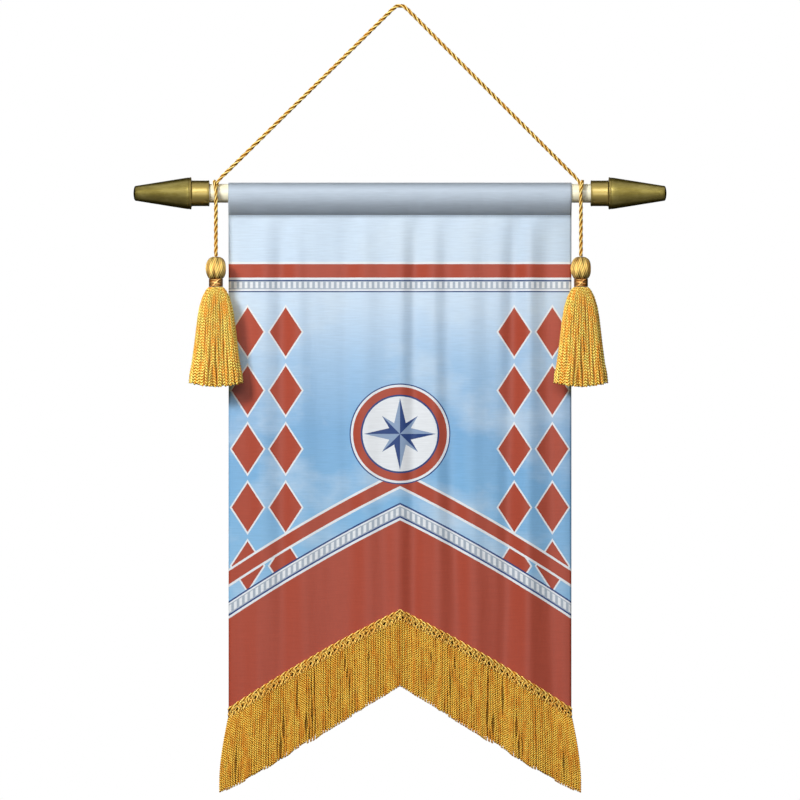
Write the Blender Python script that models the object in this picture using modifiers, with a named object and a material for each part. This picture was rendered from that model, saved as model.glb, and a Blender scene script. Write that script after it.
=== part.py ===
"""Podium banner on a wooden rod: cloth with a pole pocket, bullion fringe, finials, cord and tassels.

Metres, +Z up. The front faces -Y and +X is to the right. The origin is the underside of the cord's
peak, where the hook that is left out carries the whole piece.
"""

import math
from typing import NamedTuple

import bmesh
import bpy
import numpy as np
from mathutils import Vector

GAP = 0.0003

# Rod and finials
ROD_RADIUS = 0.0125
ROD_Z = -0.2473
ROD_INSERT = 0.020
FERRULE_INNER_X = 0.254
FERRULE_LENGTH = 0.024
FERRULE_RADIUS = 0.0171
FERRULE_FILLET = 0.0012
LIP_WIDTH = 0.0032
LIP_RADIUS = 0.0218
CONE_LENGTH = 0.0773
CONE_BASE_RADIUS = 0.0210
CONE_TIP_RADIUS = 0.0100
NOSE_DEPTH = 0.0030
NOSE_STEPS = 3
LIP_STEP = 0.0006
EDGE_CHAMFER = 0.0008
ROUND_SIDES = 32

# Cloth
CLOTH_HALF_WIDTH = 0.2286
CLOTH_THICKNESS = 0.0012
POCKET_RADIUS = 0.0141
POCKET_BELLY_POWER = 0.85
SEAM_DROP = 0.0287
APEX_Z = -0.8015
EDGE_RISE = 0.1316
EDGE_BOW = 0.1535
CLOTH_BEHIND_HEADING = 0.011
FOLD_ONSET = 0.030
CLOTH_COLUMNS = 40
SHEET_ROWS = 11
POCKET_ROWS = 22

# Fringe
HEADING_DROP = 0.0156
HEADING_THICKNESS = 0.0016
HEADING_CLEARANCE = 0.0005
HEADING_OVERHANG = 0.0008
STRANDS_PER_ARM = 60
STRAND_SHARE = 0.78
STRAND_THICKNESS = 0.0022
STRAND_STEPS = (0.3, 1.0)
FRINGE_DROP_APEX = 0.103
FRINGE_DROP_SIDE = 0.1125
FRINGE_DROP_GROWTH = 0.30
FRINGE_FLARE = 0.0118
FRINGE_FLARE_POWER = 9
FLARE_TURN = math.radians(100)
STRAND_UNEVENNESS = 0.0016

# Cord, with its route round the rod given from the rod's axis
CORD_DIAMETER = 0.0055
HITCH_LEFT_X = 0.2447
HITCH_RIGHT_X = 0.2405
# A leg's points are laid out for a hitch this far out, and stretched to the real one
LEG_SPAN = 0.2432
TAIL_DROP = 0.0836
LONGEST_STEP = 0.022
LARGEST_TURN = math.radians(17)

# Tassels
HEAD_RADIUS = 0.01325
HEAD_HEIGHT = 0.0306
HEAD_TOP_FLAT = 0.0034
HEAD_START_ANGLE = math.radians(31)
HEAD_END_ANGLE = math.radians(149)
HEAD_FULLNESS = 0.6
HEAD_STEPS = 8
NECK_RADIUS = 0.0070
BAND_RADIUS = 0.00935
BAND_GROOVE = 0.0006
BAND_HEIGHT = 0.0104
BAND_WINDINGS = 3
BAND_SIDES = 24
COLLAR_RADIUS = 0.0098
COLLAR_HEIGHT = 0.0012
OUTER_ROOT_DEPTH = 0.0022
INNER_ROOT_RADIUS = 0.0062
INNER_ROOT_DEPTH = 0.0024
SKIRT_LENGTH = 0.1315
SKIRT_END_BACK_TO_FRONT = 0.0178
SKIRT_FLATTENING = 0.8
OUTER_LOCKS = 28
LOCK_SHARE = 0.84
LOCK_THICKNESS = 0.0034
LOCK_STATIONS = 4
LOCK_UNEVENNESS = 0.0012
INNER_LOCK_REACH = 0.60

MERGE_DISTANCE = 0.00001


class Fold(NamedTuple):
    """A soft trough (depth to the back) or ridge (depth to the front), from the seam to the fringe."""

    top_x: float
    bottom_x: float
    top_depth: float
    bottom_depth: float
    half_width: float


FOLDS = (
    Fold(-0.181, -0.188, -0.0026, -0.0022, 0.013),
    Fold(-0.157, -0.158, 0.0030, 0.0024, 0.011),
    Fold(-0.140, -0.124, -0.0026, -0.0020, 0.013),
    Fold(-0.096, -0.092, 0.0014, 0.0018, 0.016),
    Fold(-0.073, -0.066, 0.0026, 0.0020, 0.013),
    Fold(-0.051, -0.040, -0.0028, -0.0024, 0.015),
    Fold(0.003, -0.008, -0.0022, -0.0016, 0.012),
    Fold(0.020, 0.016, 0.0044, 0.0034, 0.011),
    Fold(0.043, 0.052, -0.0032, -0.0030, 0.012),
    Fold(0.060, 0.079, 0.0024, 0.0026, 0.012),
    Fold(0.091, 0.098, -0.0032, -0.0034, 0.016),
    Fold(0.136, 0.118, -0.0018, 0.0016, 0.012),
    Fold(0.154, 0.138, 0.0046, 0.0040, 0.012),
    Fold(0.172, 0.170, -0.0046, -0.0042, 0.012),
    Fold(0.196, 0.205, 0.0028, 0.0036, 0.013),
)
EDGE_CURL = 0.0042
EDGE_CURL_WIDTH = 0.018
SHEET_LEAN = 0.0012


class Station(NamedTuple):
    """Half the skirt's width at a height below its top."""

    drop: float
    half_width: float


SKIRT = (
    Station(0.0000, 0.0105),
    Station(0.0128, 0.0184),
    Station(0.0261, 0.0225),
    Station(0.0401, 0.0250),
    Station(0.0741, 0.0291),
    Station(0.1008, 0.0327),
    Station(0.1155, 0.0356),
    Station(0.1315, 0.0368),
)


class Wrap(NamedTuple):
    """A point of the hitch: how far out past its mark on the rod, the clock angle from the top
    towards the front, and the distance from the rod's axis."""

    outward: float
    clock: float
    reach: float


LEG = (
    (0.0000, 0.0000, 0.00275),
    (0.0024, -0.0001, 0.00251),
    (0.0047, -0.0002, 0.00180),
    (0.0068, -0.0003, 0.00062),
    (0.0086, -0.0004, -0.00084),
    (0.0600, -0.0027, -0.0518),
    (0.1200, -0.0053, -0.1113),
    (0.1800, -0.0080, -0.1707),
    (0.2260, -0.0100, -0.2163),
    (0.2380, -0.0106, -0.2283),
    (0.2417, -0.0121, -0.2340),
    (0.2430, -0.0142, -0.2400),
)
HITCH = (
    Wrap(0.0000, 90, 0.01595),
    Wrap(0.0003, 120, 0.01595),
    Wrap(0.0006, 150, 0.01595),
    Wrap(0.0010, 180, 0.01595),
    Wrap(0.0015, 210, 0.01595),
    Wrap(0.0020, 240, 0.01595),
    Wrap(0.0026, 270, 0.01595),
    Wrap(0.0032, 300, 0.01595),
    Wrap(0.0037, 328, 0.0161),
    Wrap(0.0040, 354, 0.0172),
    Wrap(0.0039, 379, 0.0195),
    Wrap(0.0032, 401, 0.0217),
    Wrap(0.0017, 421, 0.0225),
    Wrap(0.0005, 437, 0.0222),
    Wrap(0.0000, 450, 0.0219),
)
TAIL_DROPS = (0.022, 0.052)
TAIL_Y = -HITCH[-1].reach


class Finish(NamedTuple):
    """Colour (linear), roughness and metallic value of one material."""

    color: tuple
    roughness: float
    metallic: float = 0.0


FINISHES = {
    "satin_cloth": Finish((0.42, 0.58, 0.78), 0.55),
    "cream_wood": Finish((0.76, 0.73, 0.58), 0.5),
    "antique_brass": Finish((0.42, 0.31, 0.12), 0.32, 1.0),
    "gold_bullion": Finish((0.55, 0.33, 0.05), 0.6),
    "gold_cord": Finish((0.62, 0.36, 0.05), 0.5),
    "tassel_yarn": Finish((0.78, 0.48, 0.07), 0.55),
    "wound_thread": Finish((0.38, 0.15, 0.02), 0.5),
}


def clear_scene():
    for obj in list(bpy.data.objects):
        bpy.data.objects.remove(obj, do_unlink=True)


def collection_named(name):
    collection = bpy.data.collections.new(name)
    bpy.context.scene.collection.children.link(collection)
    return collection


def material_named(name):
    finish = FINISHES[name]
    material = bpy.data.materials.get(name)
    if material is None:
        material = bpy.data.materials.new(name)
        material.use_nodes = True
        shader = material.node_tree.nodes["Principled BSDF"]
        shader.inputs["Base Color"].default_value = (*finish.color, 1.0)
        shader.inputs["Roughness"].default_value = finish.roughness
        shader.inputs["Metallic"].default_value = finish.metallic
        material.diffuse_color = (*finish.color, 1.0)
    return material


def add_object(collection, name, data, material):
    obj = bpy.data.objects.new(name, data)
    obj.data.materials.append(material_named(material))
    collection.objects.link(obj)
    return obj


def mapped_grid(bm, columns, rows, place):
    """Adds a grid of quads, with each corner put at place(u, v) for u and v from 0 to 1."""
    made = bmesh.ops.create_grid(bm, x_segments=columns, y_segments=rows, size=0.5)
    for vert in made["verts"]:
        vert.co = place(vert.co.x + 0.5, vert.co.y + 0.5)
    return made["verts"]


def mesh_from(bm, name, smooth_below=None):
    """Finishes the bmesh as a mesh with its faces pointing out."""
    bmesh.ops.recalc_face_normals(bm, faces=bm.faces)
    mesh = bpy.data.meshes.new(name)
    bm.to_mesh(mesh)
    bm.free()
    if smooth_below is not None:
        mesh.shade_smooth()
        mesh.set_sharp_from_angle(angle=math.radians(smooth_below))
    return mesh


# Cloth ---------------------------------------------------------------------------------------------


def column_positions():
    return np.linspace(-CLOTH_HALF_WIDTH, CLOTH_HALF_WIDTH, CLOTH_COLUMNS + 1)


def edge_z(x):
    """Height of the fringe heading's upper edge: two bowed arms that fall from the middle to the sides."""
    share = min(abs(x) / CLOTH_HALF_WIDTH, 1.0)
    return APEX_Z - EDGE_RISE * (share - EDGE_BOW * share * (1 - share))


def smooth_fold_depth(x, z):
    """Sum of soft bell-shaped troughs and ridges that start just under the seam, plus curled sides."""
    seam_z = ROD_Z - SEAM_DROP
    down = (seam_z - z) / (seam_z - edge_z(CLOTH_HALF_WIDTH))
    depth = SHEET_LEAN
    for fold in FOLDS:
        centre = fold.top_x + (fold.bottom_x - fold.top_x) * down
        amount = fold.top_depth + (fold.bottom_depth - fold.top_depth) * down
        depth += amount * math.exp(-(((x - centre) / fold.half_width) ** 2))
    depth += EDGE_CURL * math.exp(-((CLOTH_HALF_WIDTH - abs(x)) / EDGE_CURL_WIDTH))
    return depth * (1 - math.exp(-max(seam_z - z, 0) / FOLD_ONSET))


def fold_depth(x, z):
    """Fold depth between the cloth's columns, on the straight chords that its solid has there."""
    stations = column_positions()
    right = int(np.clip(np.searchsorted(stations, x), 1, CLOTH_COLUMNS))
    left_x, right_x = stations[right - 1], stations[right]
    share = (x - left_x) / (right_x - left_x)
    return (1 - share) * smooth_fold_depth(left_x, z) + share * smooth_fold_depth(right_x, z)


def sheet_point(u, v):
    """The hanging sheet, from the seam (v = 1) down to its lower edge behind the heading (v = 0)."""
    x = (2 * u - 1) * CLOTH_HALF_WIDTH
    seam_z = ROD_Z - SEAM_DROP
    low_z = edge_z(x) - CLOTH_BEHIND_HEADING
    z = low_z + (seam_z - low_z) * v
    return Vector((x, smooth_fold_depth(x, z), z))


def pocket_point(u, v):
    """The pocket: from the seam up its bellied front, round over the rod and down the back to the seam."""
    x = (2 * u - 1) * CLOTH_HALF_WIDTH
    turn = 2 * math.pi * v
    side = -math.sin(turn)
    height = -math.cos(turn)
    if height >= 0:
        return Vector((x, POCKET_RADIUS * side, ROD_Z + POCKET_RADIUS * height))
    drop = -height
    reach = POCKET_RADIUS * (1 - drop**2) ** POCKET_BELLY_POWER
    return Vector((x, math.copysign(reach, side), ROD_Z - SEAM_DROP * drop))


def build_cloth(collection):
    bm = bmesh.new()
    mapped_grid(bm, CLOTH_COLUMNS, SHEET_ROWS, sheet_point)
    mapped_grid(bm, CLOTH_COLUMNS, POCKET_ROWS, pocket_point)
    bmesh.ops.remove_doubles(bm, verts=bm.verts, dist=MERGE_DISTANCE)
    mesh = bpy.data.meshes.new("banner_cloth")
    bm.to_mesh(mesh)
    bm.free()
    mesh.shade_smooth()
    cloth = add_object(collection, "banner_cloth", mesh, "satin_cloth")
    shell = cloth.modifiers.new("Thickness", "SOLIDIFY")
    shell.solidify_mode = "NON_MANIFOLD"
    shell.nonmanifold_thickness_mode = "CONSTRAINTS"
    shell.thickness = CLOTH_THICKNESS
    shell.offset = 0
    return cloth


# Fringe --------------------------------------------------------------------------------------------


def heading_stations(side):
    """Positions across one arm where strands and the slits between them begin and end."""
    inner = GAP / 2
    outer = CLOTH_HALF_WIDTH + HEADING_OVERHANG
    pitch = (outer - inner) / STRANDS_PER_ARM
    starts = inner + pitch * np.arange(STRANDS_PER_ARM)
    ends = starts + pitch * STRAND_SHARE
    stations = np.sort(np.concatenate([starts, ends]))
    stations[-1] = outer
    return stations * side


def heading_back(x, z):
    """Where the heading's rear face lies: just in front of the cloth, following its folds."""
    return fold_depth(x, z) - CLOTH_THICKNESS / 2 - HEADING_CLEARANCE


def tip_z(x, number):
    """Height of a strand's end: the drop grows from the middle outwards, uneven from one to the next."""
    share = abs(x) / CLOTH_HALF_WIDTH
    growth = 1 - math.exp(-share / FRINGE_DROP_GROWTH)
    drop = FRINGE_DROP_APEX + (FRINGE_DROP_SIDE - FRINGE_DROP_APEX) * growth
    uneven = STRAND_UNEVENNESS * math.sin(2.1 * number) * math.cos(0.7 * number)
    return edge_z(x) - drop + uneven


def flare(x, down):
    """How far a strand's point swings out past its root, which only the outermost strands do."""
    share = min(abs(x) / CLOTH_HALF_WIDTH, 1.0)
    swing = FRINGE_FLARE * share**FRINGE_FLARE_POWER * math.sin(FLARE_TURN * down)
    return math.copysign(swing, x)


def draw_strand(bm, face, number):
    """Draws one cell of the heading's lower face down to the strand's tip, in two steps."""
    roots = [vert.co.copy() for vert in face.verts]
    middle = sum(roots, Vector()) / len(roots)
    end_z = tip_z(middle.x, number)
    for down in STRAND_STEPS:
        face = bmesh.ops.extrude_discrete_faces(bm, faces=[face])["faces"][0]
        for vert, root in zip(face.verts, roots):
            vert.co.x = root.x + flare(middle.x, down)
            vert.co.y = middle.y + (root.y - middle.y) * STRAND_THICKNESS / HEADING_THICKNESS
            vert.co.z = root.z + (end_z - root.z) * down


def build_fringe(collection, name, side):
    """One arm: a heading strip from a row of cells, with every second cell drawn down as a strand."""
    stations = heading_stations(side)
    cells = len(stations) - 1

    def lower_edge(u, v):
        x = stations[round(u * cells)]
        z = edge_z(x) - HEADING_DROP
        return Vector((x, heading_back(x, z) - HEADING_THICKNESS * v, z))

    bm = bmesh.new()
    mapped_grid(bm, cells, 1, lower_edge)
    row = sorted(bm.faces, key=lambda face: abs(face.calc_center_median().x))
    strands = row[0::2]
    made = bmesh.ops.extrude_face_region(bm, geom=list(bm.faces), use_keep_orig=True)
    for vert in [item for item in made["geom"] if isinstance(item, bmesh.types.BMVert)]:
        z = edge_z(vert.co.x)
        vert.co.y += heading_back(vert.co.x, z) - heading_back(vert.co.x, vert.co.z)
        vert.co.z = z
    for number, face in enumerate(strands):
        draw_strand(bm, face, number)
    return add_object(collection, name, mesh_from(bm, name), "gold_bullion")


# Rod and finials -----------------------------------------------------------------------------------


def build_rod(collection):
    bm = bmesh.new()
    length = 2 * (FERRULE_INNER_X + ROD_INSERT)
    bmesh.ops.create_cone(
        bm, cap_ends=True, segments=ROUND_SIDES, radius1=ROD_RADIUS, radius2=ROD_RADIUS, depth=length
    )
    rod = add_object(collection, "rod", mesh_from(bm, "rod", 40), "cream_wood")
    rod.location = (0, 0, ROD_Z)
    rod.rotation_euler = (0, math.pi / 2, 0)
    return rod


def finial_profile():
    """Radius and height above the ferrule's mouth, from the nose down the outside and up the socket."""
    top = FERRULE_LENGTH + CONE_LENGTH
    lip_top = FERRULE_LENGTH + LIP_WIDTH
    socket_radius = ROD_RADIUS + GAP
    socket_depth = ROD_INSERT + GAP
    points = [(0.0, top)]
    for step in range(1, NOSE_STEPS + 1):
        angle = math.pi / 2 * step / NOSE_STEPS
        height = top - NOSE_DEPTH * (1 - math.cos(angle))
        points.append((CONE_TIP_RADIUS * math.sin(angle), height))
    points += [
        (CONE_BASE_RADIUS, lip_top + LIP_STEP),
        (LIP_RADIUS, lip_top - LIP_STEP),
        (LIP_RADIUS, FERRULE_LENGTH + EDGE_CHAMFER),
        (LIP_RADIUS - EDGE_CHAMFER, FERRULE_LENGTH),
        (FERRULE_RADIUS + FERRULE_FILLET, FERRULE_LENGTH),
        (FERRULE_RADIUS, FERRULE_LENGTH - FERRULE_FILLET),
        (FERRULE_RADIUS, EDGE_CHAMFER),
        (FERRULE_RADIUS - EDGE_CHAMFER, 0.0),
        (socket_radius, 0.0),
        (socket_radius, socket_depth),
        (0.0, socket_depth),
    ]
    return points


def add_turned(collection, name, profile, material, closed=False, sides=ROUND_SIDES):
    """Adds the profile's outline (radius, height) with a Screw that turns it round the Z axis."""
    count = len(profile)
    edges = [(index, (index + 1) % count) for index in range(count if closed else count - 1)]
    mesh = bpy.data.meshes.new(name)
    mesh.from_pydata([(radius, 0, height) for radius, height in profile], edges, [])
    obj = add_object(collection, name, mesh, material)
    screw = obj.modifiers.new("Turn", "SCREW")
    screw.axis = "Z"
    screw.steps = sides
    screw.render_steps = sides
    screw.use_smooth_shade = True
    screw.use_merge_vertices = True
    screw.merge_threshold = MERGE_DISTANCE
    return obj


def build_finials(collection):
    for name, side in (("finial_left", -1), ("finial_right", 1)):
        finial = add_turned(collection, name, finial_profile(), "antique_brass")
        finial.location = (side * FERRULE_INNER_X, 0, ROD_Z)
        finial.rotation_euler = (0, side * math.pi / 2, 0)


# Cord ----------------------------------------------------------------------------------------------


def hitch_x(side):
    """Where the cord is hitched to the rod: the left tassel hangs a little further out."""
    return HITCH_RIGHT_X if side > 0 else -HITCH_LEFT_X


def half_route(side):
    """The cord from its peak to one tassel: leg, one turn round the rod and the hanging tail."""
    mark = hitch_x(side)
    points = [Vector((x * mark / LEG_SPAN, y, z)) for x, y, z in LEG]
    for wrap in HITCH:
        clock = math.radians(wrap.clock)
        x = mark + side * wrap.outward
        points.append(Vector((x, -wrap.reach * math.sin(clock), ROD_Z + wrap.reach * math.cos(clock))))
    for drop in (*TAIL_DROPS, TAIL_DROP):
        points.append(Vector((mark, TAIL_Y, ROD_Z - drop)))
    return points


def cord_route():
    return half_route(-1)[:0:-1] + half_route(1)


def smooth_curve(points, pieces=16):
    """Centripetal Catmull-Rom curve through all the points."""
    ends = [2 * points[0] - points[1], *points, 2 * points[-1] - points[-2]]
    curve = []
    for p0, p1, p2, p3 in zip(ends, ends[1:], ends[2:], ends[3:]):
        t1 = (p1 - p0).length ** 0.5
        t2 = t1 + (p2 - p1).length ** 0.5
        t3 = t2 + (p3 - p2).length ** 0.5
        for step in range(pieces):
            t = t1 + (t2 - t1) * step / pieces
            a1 = p0.lerp(p1, t / t1)
            a2 = p1.lerp(p2, (t - t1) / (t2 - t1))
            a3 = p2.lerp(p3, (t - t2) / (t3 - t2))
            b1 = a1.lerp(a2, t / t2)
            b2 = a2.lerp(a3, (t - t1) / (t3 - t1))
            curve.append(b1.lerp(b2, (t - t1) / (t2 - t1)))
    return curve + [points[-1]]


def thinned(curve):
    """Keeps a point wherever the curve has run or turned far enough since the last one."""
    kept = [curve[0]]
    heading = curve[1] - curve[0]
    run = 0.0
    for before, point, after in zip(curve, curve[1:], curve[2:]):
        run += (point - before).length
        direction = after - point
        if run > LONGEST_STEP or heading.angle(direction) > LARGEST_TURN:
            kept.append(point)
            heading = direction
            run = 0.0
    if (kept[-1] - curve[-1]).length < CORD_DIAMETER:
        kept.pop()
    return kept + [curve[-1]]


def build_cord(collection):
    points = thinned(smooth_curve(cord_route()))
    data = bpy.data.curves.new("hanging_cord", "CURVE")
    data.dimensions = "3D"
    data.bevel_depth = CORD_DIAMETER / 2
    data.bevel_resolution = 2
    data.use_fill_caps = True
    spline = data.splines.new("POLY")
    spline.points.add(len(points) - 1)
    for target, point in zip(spline.points, points):
        target.co = (*point, 1)
    return add_object(collection, "hanging_cord", data, "gold_cord")


# Tassels -------------------------------------------------------------------------------------------


def head_profile():
    """Radius and drop from the head's top: a full rounded head, the neck, and the collar with the
    two rings where its locks are rooted."""
    points = [(0.0, 0.0), (HEAD_TOP_FLAT, 0.0)]
    for step in range(1, HEAD_STEPS):
        angle = HEAD_START_ANGLE + (HEAD_END_ANGLE - HEAD_START_ANGLE) * step / HEAD_STEPS
        drop = HEAD_HEIGHT * (0.5 - 0.5 * math.cos(angle))
        points.append((HEAD_RADIUS * math.sin(angle) ** HEAD_FULLNESS, drop))
    collar_top = HEAD_HEIGHT + BAND_HEIGHT + GAP
    collar_low = collar_top + COLLAR_HEIGHT
    points += [
        (NECK_RADIUS, HEAD_HEIGHT - GAP),
        (NECK_RADIUS, collar_top),
        (COLLAR_RADIUS, collar_top),
        (COLLAR_RADIUS, collar_low),
        (COLLAR_RADIUS - OUTER_ROOT_DEPTH, collar_low),
        (INNER_ROOT_RADIUS, collar_low),
        (INNER_ROOT_RADIUS - INNER_ROOT_DEPTH, collar_low),
        (0.0, collar_low),
    ]
    return points


def skirt_half_sizes(down):
    """Half width and half depth of the skirt at a share of its length."""
    drop = down * SKIRT_LENGTH
    half_width = float(np.interp(drop, [row.drop for row in SKIRT], [row.half_width for row in SKIRT]))
    spread = (half_width - COLLAR_RADIUS) / (SKIRT[-1].half_width - COLLAR_RADIUS)
    half_depth = COLLAR_RADIUS + (SKIRT_END_BACK_TO_FRONT - COLLAR_RADIUS) * spread**SKIRT_FLATTENING
    return half_width, half_depth


def lock_angle(index):
    """Angle of a lock's near or far side, so that a lock takes most of its pitch and a slit the rest."""
    pitch = 2 * math.pi / OUTER_LOCKS
    number, far = divmod(index, 2)
    return pitch * (number + (LOCK_SHARE if far else 0.0))


def lock_cells(bm, centre, low_z):
    """The collar's lower cells that carry a lock: each in the outer ring, every second in the inner."""
    pitch = 2 * math.pi / OUTER_LOCKS
    outer, inner = [], []
    for face in bm.faces:
        middle = face.calc_center_median() - centre
        number, share = divmod((math.atan2(middle.y, middle.x) % (2 * math.pi)) / pitch, 1)
        if abs(middle.z - low_z) > MERGE_DISTANCE or share > LOCK_SHARE:
            continue
        reach = max((vert.co - centre).xy.length for vert in face.verts)
        if abs(reach - COLLAR_RADIUS) < MERGE_DISTANCE:
            outer.append(face)
        elif abs(reach - INNER_ROOT_RADIUS) < MERGE_DISTANCE and number % 2 == 0:
            inner.append(face)
    return outer, inner


def draw_lock(bm, face, number, share_of_reach, centre):
    """Draws one cell of the collar's lower face down along the flaring skirt."""
    roots = [vert.co - centre for vert in face.verts]
    far = max(root.xy.length for root in roots)
    for station in range(1, LOCK_STATIONS + 1):
        down = station / LOCK_STATIONS
        half_width, half_depth = skirt_half_sizes(down)
        drop = (SKIRT_LENGTH + LOCK_UNEVENNESS * math.sin(2.7 * number)) * down
        face = bmesh.ops.extrude_discrete_faces(bm, faces=[face])["faces"][0]
        for vert, root in zip(face.verts, roots):
            inset = 0.0 if root.xy.length > far - MERGE_DISTANCE else LOCK_THICKNESS
            angle = math.atan2(root.y, root.x)
            across = (half_width * share_of_reach - inset) * math.cos(angle)
            back = (half_depth * share_of_reach - inset) * math.sin(angle)
            vert.co = centre + Vector((across, back, root.z - drop))


def build_tassel(collection, name, side):
    """A turned head and collar, with the collar's cells drawn down as locks of yarn."""
    profile = head_profile()
    rows = len(profile) - 1
    columns = 2 * OUTER_LOCKS
    top_z = ROD_Z - TAIL_DROP - GAP
    centre = Vector((hitch_x(side), TAIL_Y, 0))

    def body_point(u, v):
        radius, drop = profile[round(v * rows)]
        angle = lock_angle(round(u * columns))
        return centre + Vector((radius * math.cos(angle), radius * math.sin(angle), top_z - drop))

    bm = bmesh.new()
    mapped_grid(bm, columns, rows, body_point)
    bmesh.ops.remove_doubles(bm, verts=bm.verts, dist=MERGE_DISTANCE)
    bmesh.ops.recalc_face_normals(bm, faces=bm.faces)
    outer, inner = lock_cells(bm, centre, top_z - profile[-1][1])
    for cells, share_of_reach in ((outer, 1.0), (inner, INNER_LOCK_REACH)):
        for number, face in enumerate(cells):
            draw_lock(bm, face, number, share_of_reach, centre)
    return add_object(collection, name, mesh_from(bm, name), "tassel_yarn")


def build_band(collection, name, side):
    """The wound neck thread as a ring with a few soft windings on its outside."""
    inner = NECK_RADIUS + GAP
    groove = BAND_RADIUS - BAND_GROOVE
    pitch = BAND_HEIGHT / BAND_WINDINGS
    profile = [(inner, BAND_HEIGHT)]
    for winding in reversed(range(BAND_WINDINGS)):
        profile.append((groove, pitch * (winding + 1)))
        profile.append((BAND_RADIUS, pitch * (winding + 0.5)))
    profile += [(groove, 0.0), (inner, 0.0)]
    band = add_turned(collection, name, profile, "wound_thread", closed=True, sides=BAND_SIDES)
    band.location = (hitch_x(side), TAIL_Y, ROD_Z - TAIL_DROP - GAP - HEAD_HEIGHT - BAND_HEIGHT)
    return band


def main():
    clear_scene()
    banner = collection_named("podium_banner")
    build_cloth(banner)
    build_rod(banner)
    build_finials(banner)
    build_cord(banner)
    for side_name, side in (("left", -1), ("right", 1)):
        build_fringe(banner, f"fringe_{side_name}", side)
        build_tassel(banner, f"tassel_{side_name}", side)
        build_band(banner, f"tassel_band_{side_name}", side)


main()
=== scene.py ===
"""Looks of a podium banner on a corded rod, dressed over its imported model.

Metres, +Z up. The front faces -Y and +X is to the right. The origin is the underside of the cord's
peak, where a hook would carry the whole piece.
"""

import logging
import math
from dataclasses import dataclass
from enum import Enum
from typing import Any, NamedTuple

import bpy
import numpy as np
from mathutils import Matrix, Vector


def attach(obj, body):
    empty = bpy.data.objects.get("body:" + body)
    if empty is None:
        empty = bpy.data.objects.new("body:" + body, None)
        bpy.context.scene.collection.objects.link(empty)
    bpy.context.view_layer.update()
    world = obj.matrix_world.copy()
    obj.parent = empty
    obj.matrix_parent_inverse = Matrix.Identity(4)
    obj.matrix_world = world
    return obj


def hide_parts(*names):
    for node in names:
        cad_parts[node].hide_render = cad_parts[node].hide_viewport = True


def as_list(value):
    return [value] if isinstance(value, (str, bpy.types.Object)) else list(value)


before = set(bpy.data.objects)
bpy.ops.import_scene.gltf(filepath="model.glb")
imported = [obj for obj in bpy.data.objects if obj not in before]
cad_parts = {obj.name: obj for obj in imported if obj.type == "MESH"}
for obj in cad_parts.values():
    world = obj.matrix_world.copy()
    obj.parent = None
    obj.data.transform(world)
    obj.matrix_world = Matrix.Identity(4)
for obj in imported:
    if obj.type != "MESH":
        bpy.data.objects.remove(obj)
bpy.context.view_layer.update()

Array = np.ndarray
Material = bpy.types.Material
Piece = bpy.types.Object
Socket = bpy.types.NodeSocket
Tree = bpy.types.NodeTree
Triple = tuple[float, float, float]

LOG = logging.getLogger("banner")
TAU = 2 * math.pi
X_WAY, Y_WAY, Z_WAY = np.eye(3)
# Two directions square to a yarn that hangs plumb
LEVEL = (X_WAY, Y_WAY)
# A Mix node's colour sockets, by their place among its inputs and outputs
FACTOR, COLOR_A, COLOR_B, COLOR_OUT = 0, 6, 7, 2


class Side(Enum):
    """One half of the banner, with the sign of its x."""

    LEFT = -1
    RIGHT = 1

    @property
    def word(self) -> str:
        """The side's word in the names of nodes and pieces."""
        return self.name.lower()


# Colour and nodes


def linear(code: str) -> tuple[float, ...]:
    """Turns an sRGB hex value such as "#C68A2E" into linear RGBA with an alpha of 1."""
    shares = [int(code[start : start + 2], 16) / 255 for start in (1, 3, 5)]
    return *(share / 12.92 if share <= 0.04045 else ((share + 0.055) / 1.055) ** 2.4 for share in shares), 1.0


def feed(node: bpy.types.Node, inputs: dict[Any, Any]) -> None:
    """Sets a node's inputs, by name or place, or links each to the output given for it.

    Args:
        node: the node to set and link.
        inputs: values by the input's name or place, or the output that feeds it.
    """
    for key, value in inputs.items():
        if isinstance(value, Socket):
            node.id_data.links.new(value, node.inputs[key])
        else:
            node.inputs[key].default_value = value


def add_node(tree: Tree, kind: str, inputs: dict[Any, Any], output: Any = 0, **settings: Any) -> Socket:
    """Adds one node with its settings and links.

    Args:
        tree: the material's nodes.
        kind: the shader node's type, or in capitals a Math node's operation.
        inputs: values by the input's name or place, or the output that feeds it.
        output: the name or place of the output that is wanted.
        settings: the node's properties; stops are a colour ramp's (position, colour) pairs.

    Returns:
        The wanted output.
    """
    if kind.isupper():
        kind, settings = "Math", {"operation": kind}
    node = tree.nodes.new("ShaderNode" + kind)
    for name, value in settings.items():
        if name == "stops":
            elements = node.color_ramp.elements
            while len(elements) < len(value):
                elements.new(1.0)
            for element, stop in zip(elements, value):
                element.position, element.color = stop
        else:
            setattr(node.color_ramp if name == "interpolation" else node, name, value)
    feed(node, inputs)
    return node.outputs[output]


# Meshes


def smooth_share(share: Array) -> Array:
    """A share from 0 to 1 with soft ends: 3 t squared less 2 t cubed, held outside."""
    held = np.clip(share, 0.0, 1.0)
    return held * held * (3 - 2 * held)


def ripple(places: Array, waves: tuple[float, ...], start: float = 0.0) -> Array:
    """An uneven ripple: the mean of sines of the given wavelengths, each with its own start."""
    sines = (np.sin(TAU * places / wave + start + 2.4 * turn) for turn, wave in enumerate(waves))
    return sum(sines) / len(waves)


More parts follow.
